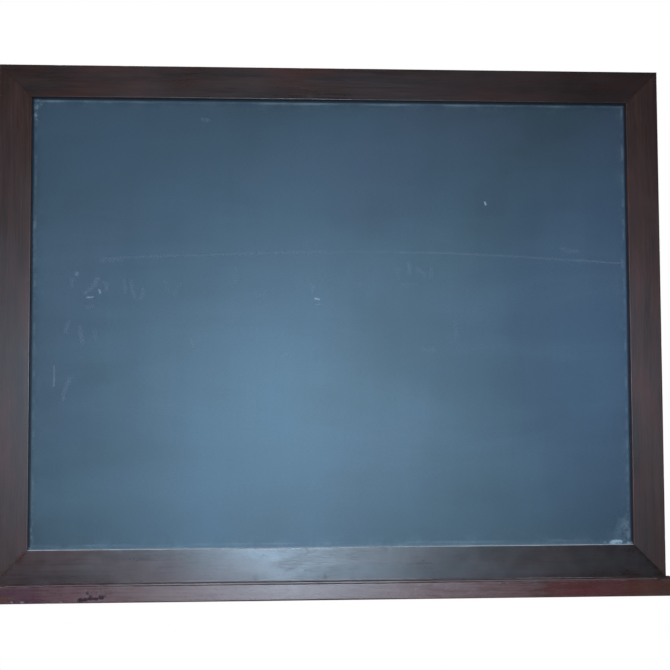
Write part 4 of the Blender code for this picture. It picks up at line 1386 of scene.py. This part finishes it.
def build_joint_line():
    """Finish, chalk dust and painted light that fill the crease where the bottom rail meets the ledge."""
    face = FRAME_FRONT + JOINT_SETBACK
    rear = FRAME_FRONT + ARRIS_RADIUS
    foot = LEDGE_HIGH.z + JOINT_SETBACK / 10
    top = BOTTOM_LOW.z + LEDGE_SIDE_ARRIS / 2
    low_top = BOTTOM_LOW.z + LEDGE_SIDE_ARRIS / 4
    outline = ((face, foot), (face, low_top), (face + JOINT_SETBACK / 2, top), (rear, top), (rear, foot))
    half = HALF_WIDTH - JOINT_END
    shape = bmesh.new()
    draw_outline(shape, [(-half, depth, height) for depth, height in outline], (2 * half, 0, 0))
    face_outwards(shape)
    subdivide_along(shape, 0, 2 * SECTION_STEP)
    for vert in shape.verts:
        if vert.co.y < rear - NEAR and vert.co.z > foot + NEAR:
            vert.co.y += JOINT_WAVER * noise.noise(vert.co / PLANING_WAVE)
    finish_piece("ledge_joint_line", shape, JOINT_LINE, "board", slot="ledge_wood")


# Panel and chalk

def build_sheet(node, material, wave, ripple, slot, seed):
    """A thin sheet with eased corners, its faces never quite flat."""
    low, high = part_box(node)
    middle = (low + high) / 2
    shape = drawn_box(low, high)
    ease(shape, [edge for edge in shape.edges if along_axis(edge, 1)], SHEET_CORNER, 4)
    ease(shape, sharp_edges(shape), SHEET_EDGE_EASE, 1)
    for axis in (0, 2):
        span = high[axis] - low[axis]
        cut_lines(shape, axis, [low[axis] + span * step / SHEET_GRID for step in range(1, SHEET_GRID)])
    for vert in shape.verts:
        shares = [abs(vert.co[axis] - middle[axis]) / (high[axis] - low[axis]) for axis in (0, 2)]
        calm = bell(max(shares), 0.5)
        vert.co.y += ripple * calm * noise.noise(vert.co / wave + Vector((seed, seed, seed)))
    finish_piece(node + "_skin", shape, material, "board", node, slot=slot)


def smooth_path(pixels, depth):
    """A curve through pixels of the photograph, laid on the plane y = depth and cut into short steps."""
    points = [photo_point(pixel, depth) for pixel in pixels]
    points = [2 * points[0] - points[1]] + points + [2 * points[-1] - points[-2]]
    path = []
    for first, second, third, fourth in zip(points, points[1:], points[2:], points[3:]):
        steps = max(1, int((third - second).length / CHALK_STEP))
        for step in range(steps):
            share = step / steps
            straight = 2 * second + (third - first) * share
            bow = (2 * first - 5 * second + 4 * third - fourth) * share * share
            twist = (3 * second - first - 3 * third + fourth) * share * share * share
            path.append((straight + bow + twist) / 2)
    path.append(points[-2])
    return path


def chalk_ribbon(shape, layers, pixels, width, strength, rng):
    """A thin closed strip of chalk along a path on the sheet, faint at its edges and ends."""
    strength_layer, side_layer = layers
    path = smooth_path(pixels, SHEET_LOW.y - SHEET_RIPPLE)
    row = [shape.verts.new(path[0]) for line in range(CHALK_LINES)]
    for line, vert in enumerate(row):
        vert[side_layer] = 2 * line / (CHALK_LINES - 1) - 1
    edges = [shape.edges.new(pair) for pair in zip(row, row[1:])]
    faces = []
    for index, point in enumerate(path):
        if index:
            drawn = bmesh.ops.extrude_edge_only(shape, edges=edges)["geom"]
            row = [item for item in drawn if isinstance(item, bmesh.types.BMVert)]
            faces += [item for item in drawn if isinstance(item, bmesh.types.BMFace)]
            edges = [item for item in drawn if isinstance(item, bmesh.types.BMEdge)]
            edges = [edge for edge in edges if set(edge.verts) <= set(row)]
        before = path[max(0, index - 1)]
        after = path[min(len(path) - 1, index + 1)]
        aside = (after - before).cross(Vector((0, 1, 0))).normalized()
        taper = min(1.0, END_LEAST_SHARE + END_RISE * math.sin(math.pi * (index + 0.5) / len(path)))
        reach = width / 2 * rng.uniform(*WIDTH_SHARES)
        for vert in sorted(row, key=lambda vert: vert[side_layer]):
            side = vert[side_layer]
            vert.co = point + aside * side * reach
            vert[strength_layer] = strength * taper * (1 - side * side) * rng.uniform(*STRENGTH_SHARES)
    extrude(shape, faces, (0, -CHALK_LIFT, 0))


def build_chalk():
    """What is left of chalk on the board: one long line, a few ticks and wiped strokes."""
    shape = bmesh.new()
    layers = [shape.verts.layers.float.new(name) for name in ("strength", "side")]
    rng = random.Random(7)
    for pixels, width, strength in CHALK_STROKES:
        chalk_ribbon(shape, layers, pixels, width, strength, rng)
    face_outwards(shape)
    finish_piece("chalk_marks", shape, CHALK, "board", slot="writing_surface", smooth=False)


# Small metalwork

def cross_tool(head_top):
    """The driver's tapered cross, as a cutting shape."""
    half = RECESS_WIDTH / 2
    reach = RECESS_SPAN / 2
    outline = []
    for quarter in range(4):
        turn = Matrix.Rotation(quarter * QUARTER, 3, "Z")
        for across, aside in ((half, -half), (reach, -half), (reach, half)):
            outline.append(turn @ Vector((across, aside, head_top + CUT_OVERRUN)))
    shape = bmesh.new()
    for vert in draw_outline(shape, outline, (0, 0, -CUT_OVERRUN - RECESS_DEPTH)):
        vert.co.x *= RECESS_TAPER_SHARE
        vert.co.y *= RECESS_TAPER_SHARE
    face_outwards(shape)
    return shape


def thread(shape, radius, low, high):
    """A helical ridge from one height of the shank to another, as a closed strip let into it."""
    turns = int((high - low) / THREAD_PITCH)
    ridge = ((-THREAD_HEIGHT, -THREAD_SHARE), (THREAD_HEIGHT, 0.0), (-THREAD_HEIGHT, THREAD_SHARE))
    section = [shape.verts.new((radius + out, 0, low + THREAD_PITCH * rise)) for out, rise in ridge]
    face = shape.faces.new(section)
    bmesh.ops.spin(
        shape,
        geom=section + list(face.edges) + [face],
        cent=(0, 0, 0),
        axis=(0, 0, 1),
        dvec=(0, 0, THREAD_PITCH / THREAD_STEPS),
        angle=FULL_TURN * turns,
        steps=THREAD_STEPS * turns,
        use_duplicate=False,
    )


def screw_mesh(name, head_radius, head_height, shank_radius, shank_length):
    """A cross-head wood screw whose domed head seats at z = 0, or whose flush head ends there."""
    cone = 0 if head_height else head_radius - shank_radius
    profile = [(0, -shank_length), (shank_radius, TIP_LENGTH - shank_length), (shank_radius, -cone)]
    if head_height:
        profile.append((head_radius - METAL_EDGE / 2, 0))
        for step in range(DOME_STEPS):
            angle = QUARTER * step / DOME_STEPS
            height = head_height * (DOME_RIM_SHARE + (1 - DOME_RIM_SHARE) * math.sin(angle))
            profile.append((head_radius * math.cos(angle) ** DOME_POWER, height))
        profile.append((0, head_height))
    else:
        profile += [(head_radius, -METAL_EDGE), (head_radius - METAL_EDGE / 2, 0), (0, 0)]
    cut = cut_away(name, mesh_of(turned(profile), name), [cross_tool(head_height)])
    shape = bmesh.new()
    shape.from_mesh(cut)
    thread(shape, shank_radius, TIP_LENGTH - shank_length, -cone - THREAD_PITCH)
    merge(shape)
    face_outwards(shape)
    shape.to_mesh(cut)
    shape.free()
    return cut


def axis_of(direction):
    """The index of the axis that a direction runs along."""
    return max(range(3), key=lambda index: abs(direction[index]))


def place_screw(node, master, direction, seat, rng):
    """A copy of a screw on its CAD node; its head points along the direction."""
    low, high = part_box(node)
    middle = (low + high) / 2
    axis = axis_of(direction)
    top = high[axis] if direction[axis] > 0 else low[axis]
    middle[axis] = top - direction[axis] * seat
    turn = direction.to_track_quat("Z", "Y").to_matrix().to_4x4()
    spun = Matrix.Rotation(rng.uniform(0, QUARTER), 4, "Z")
    shape = bmesh.new()
    shape.from_mesh(master)
    moved(shape, Matrix.Translation(middle) @ turn @ spun)
    finish_piece(node + "_threaded", shape, ZINC, "board", node, slot="plated_steel")


def build_screws():
    """Every screw on its CAD node, from three kinds."""
    rng = random.Random(19)
    for name, starts, model, direction, head_height, shank_radius in SCREW_KINDS:
        low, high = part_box(model)
        axis = axis_of(direction)
        across = (axis + 1) % 3
        head_radius = (high[across] - low[across]) / 2
        shank_length = high[axis] - low[axis] - head_height
        master = screw_mesh(name, head_radius, head_height, shank_radius, shank_length)
        for node in sorted(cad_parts):
            if node.startswith(starts):
                place_screw(node, master, Vector(direction), head_height, rng)


def eased_copy(node, name, material, body, edge, slot):
    """The CAD node's own shape with its flat faces joined and its edges eased."""
    shape = bmesh.new()
    shape.from_mesh(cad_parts[node].data)
    merge(shape)
    bmesh.ops.dissolve_limit(shape, angle_limit=FLAT_ANGLE, verts=shape.verts, edges=shape.edges)
    ease(shape, sharp_edges(shape), edge, 2)
    finish_piece(name, shape, material, body, node, slot=slot)


def build_metalwork():
    """Corner plates, turn buttons, splines and bars, each an eased copy of its CAD node."""
    for node in sorted(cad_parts):
        if node.startswith("corner_plate"):
            eased_copy(node, node + "_stamped", ZINC, "board", METAL_EDGE, "plated_steel")
        elif node.startswith("turn_button"):
            eased_copy(node, node + "_stamped", ZINC, node, METAL_EDGE, "plated_steel")
        elif node.startswith("mitre_spline"):
            eased_copy(node, node + "_sawn", BEECH, "board", METAL_EDGE, "spline_wood")
    for node, body in (("hanger_bar", "board"), ("wall_bar", "wall")):
        eased_copy(node, node + "_drawn", BAR_METAL, body, BAR_EDGE, "bar_aluminium")


def build_bumpers():
    """Moulded rubber bumpers: a stepped foot, a ring and a shallow dish in the wall face."""
    for side in ("left", "right"):
        node = "wall_bumper_" + side
        low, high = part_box(node)
        radius = (high.x - low.x) / 2
        depth = high.y - low.y
        profile = [(radius * out, depth * rise) for out, rise in BUMPER_PROFILE_SHARES]
        shape = turned(profile, 2 * TURNED_STEPS)
        middle = ((low.x + high.x) / 2, low.y, (low.z + high.z) / 2)
        moved(shape, Matrix.Translation(middle) @ Matrix.Rotation(-QUARTER, 4, "X"))
        finish_piece(node + "_moulded", shape, RUBBER, "board", node, slot="bumper_rubber")


# Floor, light and background

def build_floor():
    """A pale floor that runs out into white."""
    material, place = new_material("studio_floor")
    surface(material, {"Base Color": FLOOR_COLOUR, "Roughness": 0.85})
    tree = material.node_tree
    fade = maths("MAXIMUM", spread(length_of(place), *FLOOR_FADE), FLOOR_LEAST_GLOW)
    seen = add(tree, "ShaderNodeLightPath")["Is Camera Ray"]
    shade = Outlets(tree.nodes["Principled BSDF"])["BSDF"]
    glow = add(tree, "ShaderNodeEmission")["Emission"]
    mix = add(tree, "ShaderNodeMixShader", {"Fac": fade * seen, 1: shade, 2: glow})
    feed(tree.nodes["Material Output"].inputs["Surface"], mix["Shader"])
    shape = bmesh.new()
    bmesh.ops.create_circle(shape, cap_ends=True, segments=FLOOR_SIDES, radius=FLOOR_RADIUS)
    mesh = mesh_of(shape, "studio_floor")
    mesh.materials.append(material)
    floor = shown("studio_floor", mesh)
    floor.location = (0, 0, LEDGE_LOW.z - FLOOR_DROP)


def place_lamp(name, data, spot, target):
    """A lamp at its spot, turned to its target and unseen by the camera."""
    lamp = shown(name, data)
    lamp.location = spot
    lamp.rotation_mode = "QUATERNION"
    lamp.rotation_quaternion = (Vector(target) - Vector(spot)).to_track_quat("-Z", "Y")
    lamp.visible_camera = False


def build_lights():
    """A key lamp and a low lamp in front, and soft fill from the side and from behind."""
    for name, spot, target, power, radius, cone in SPOT_LAMPS:
        data = bpy.data.lights.new(name, "SPOT")
        data.energy = power
        data.color = KEY_COLOUR
        data.spot_size = cone
        data.spot_blend = 1.0
        data.shadow_soft_size = radius
        place_lamp(name, data, spot, target)
    for name, spot, size, power in SOFT_LAMPS:
        data = bpy.data.lights.new(name, "AREA")
        data.energy = power
        data.size = size
        place_lamp(name, data, spot, (0, 0, MIDDLE_Z))


def build_world():
    """White where the camera sees it and behind the board; a dim room in front of it and for soft light."""
    world = bpy.data.worlds.new("studio")
    bpy.context.scene.world = world
    world.use_nodes = True
    tree = world.node_tree
    tree.nodes.clear()
    path = add(tree, "ShaderNodeLightPath")
    parts = parts_of(add(tree, "ShaderNodeTexCoord")["Generated"])
    behind = spread(parts["Y"], *MIRROR_BEHIND)
    mirrored = path["Is Glossy Ray"] * (behind * spread(parts["Z"], *MIRROR_LEVEL))
    white = held(path["Is Camera Ray"] + path["Is Transmission Ray"] + mirrored)
    tone = blend(path["Is Glossy Ray"], WHITE, ROOM_COLOUR)
    room = add(tree, "ShaderNodeBackground", {"Color": tone, "Strength": AMBIENT_STRENGTH})["Background"]
    bright = add(tree, "ShaderNodeBackground", {"Color": WHITE, "Strength": 1.0})["Background"]
    mix = add(tree, "ShaderNodeMixShader", {"Fac": white, 1: room, 2: bright})["Shader"]
    add(tree, "ShaderNodeOutputWorld", {"Surface": mix})


def main():
    set_camera()
    build_members()
    build_mitre_glue()
    build_ledge()
    build_joint_line()
    build_sheet("writing_sheet", WRITING, SHEET_WAVE, SHEET_RIPPLE, "writing_surface", 3)
    build_sheet("backing_sheet", BACKING_METAL, BACKING_WAVE, BACKING_RIPPLE, "backing_sheet", 5)
    build_sheet("core_board", FIBRE, SHEET_WAVE, 0.0, "core_board", 1)
    build_chalk()
    build_screws()
    build_metalwork()
    build_bumpers()
    build_floor()
    build_lights()
    build_world()
    bpy.context.scene.view_settings.view_transform = "Standard"


main()
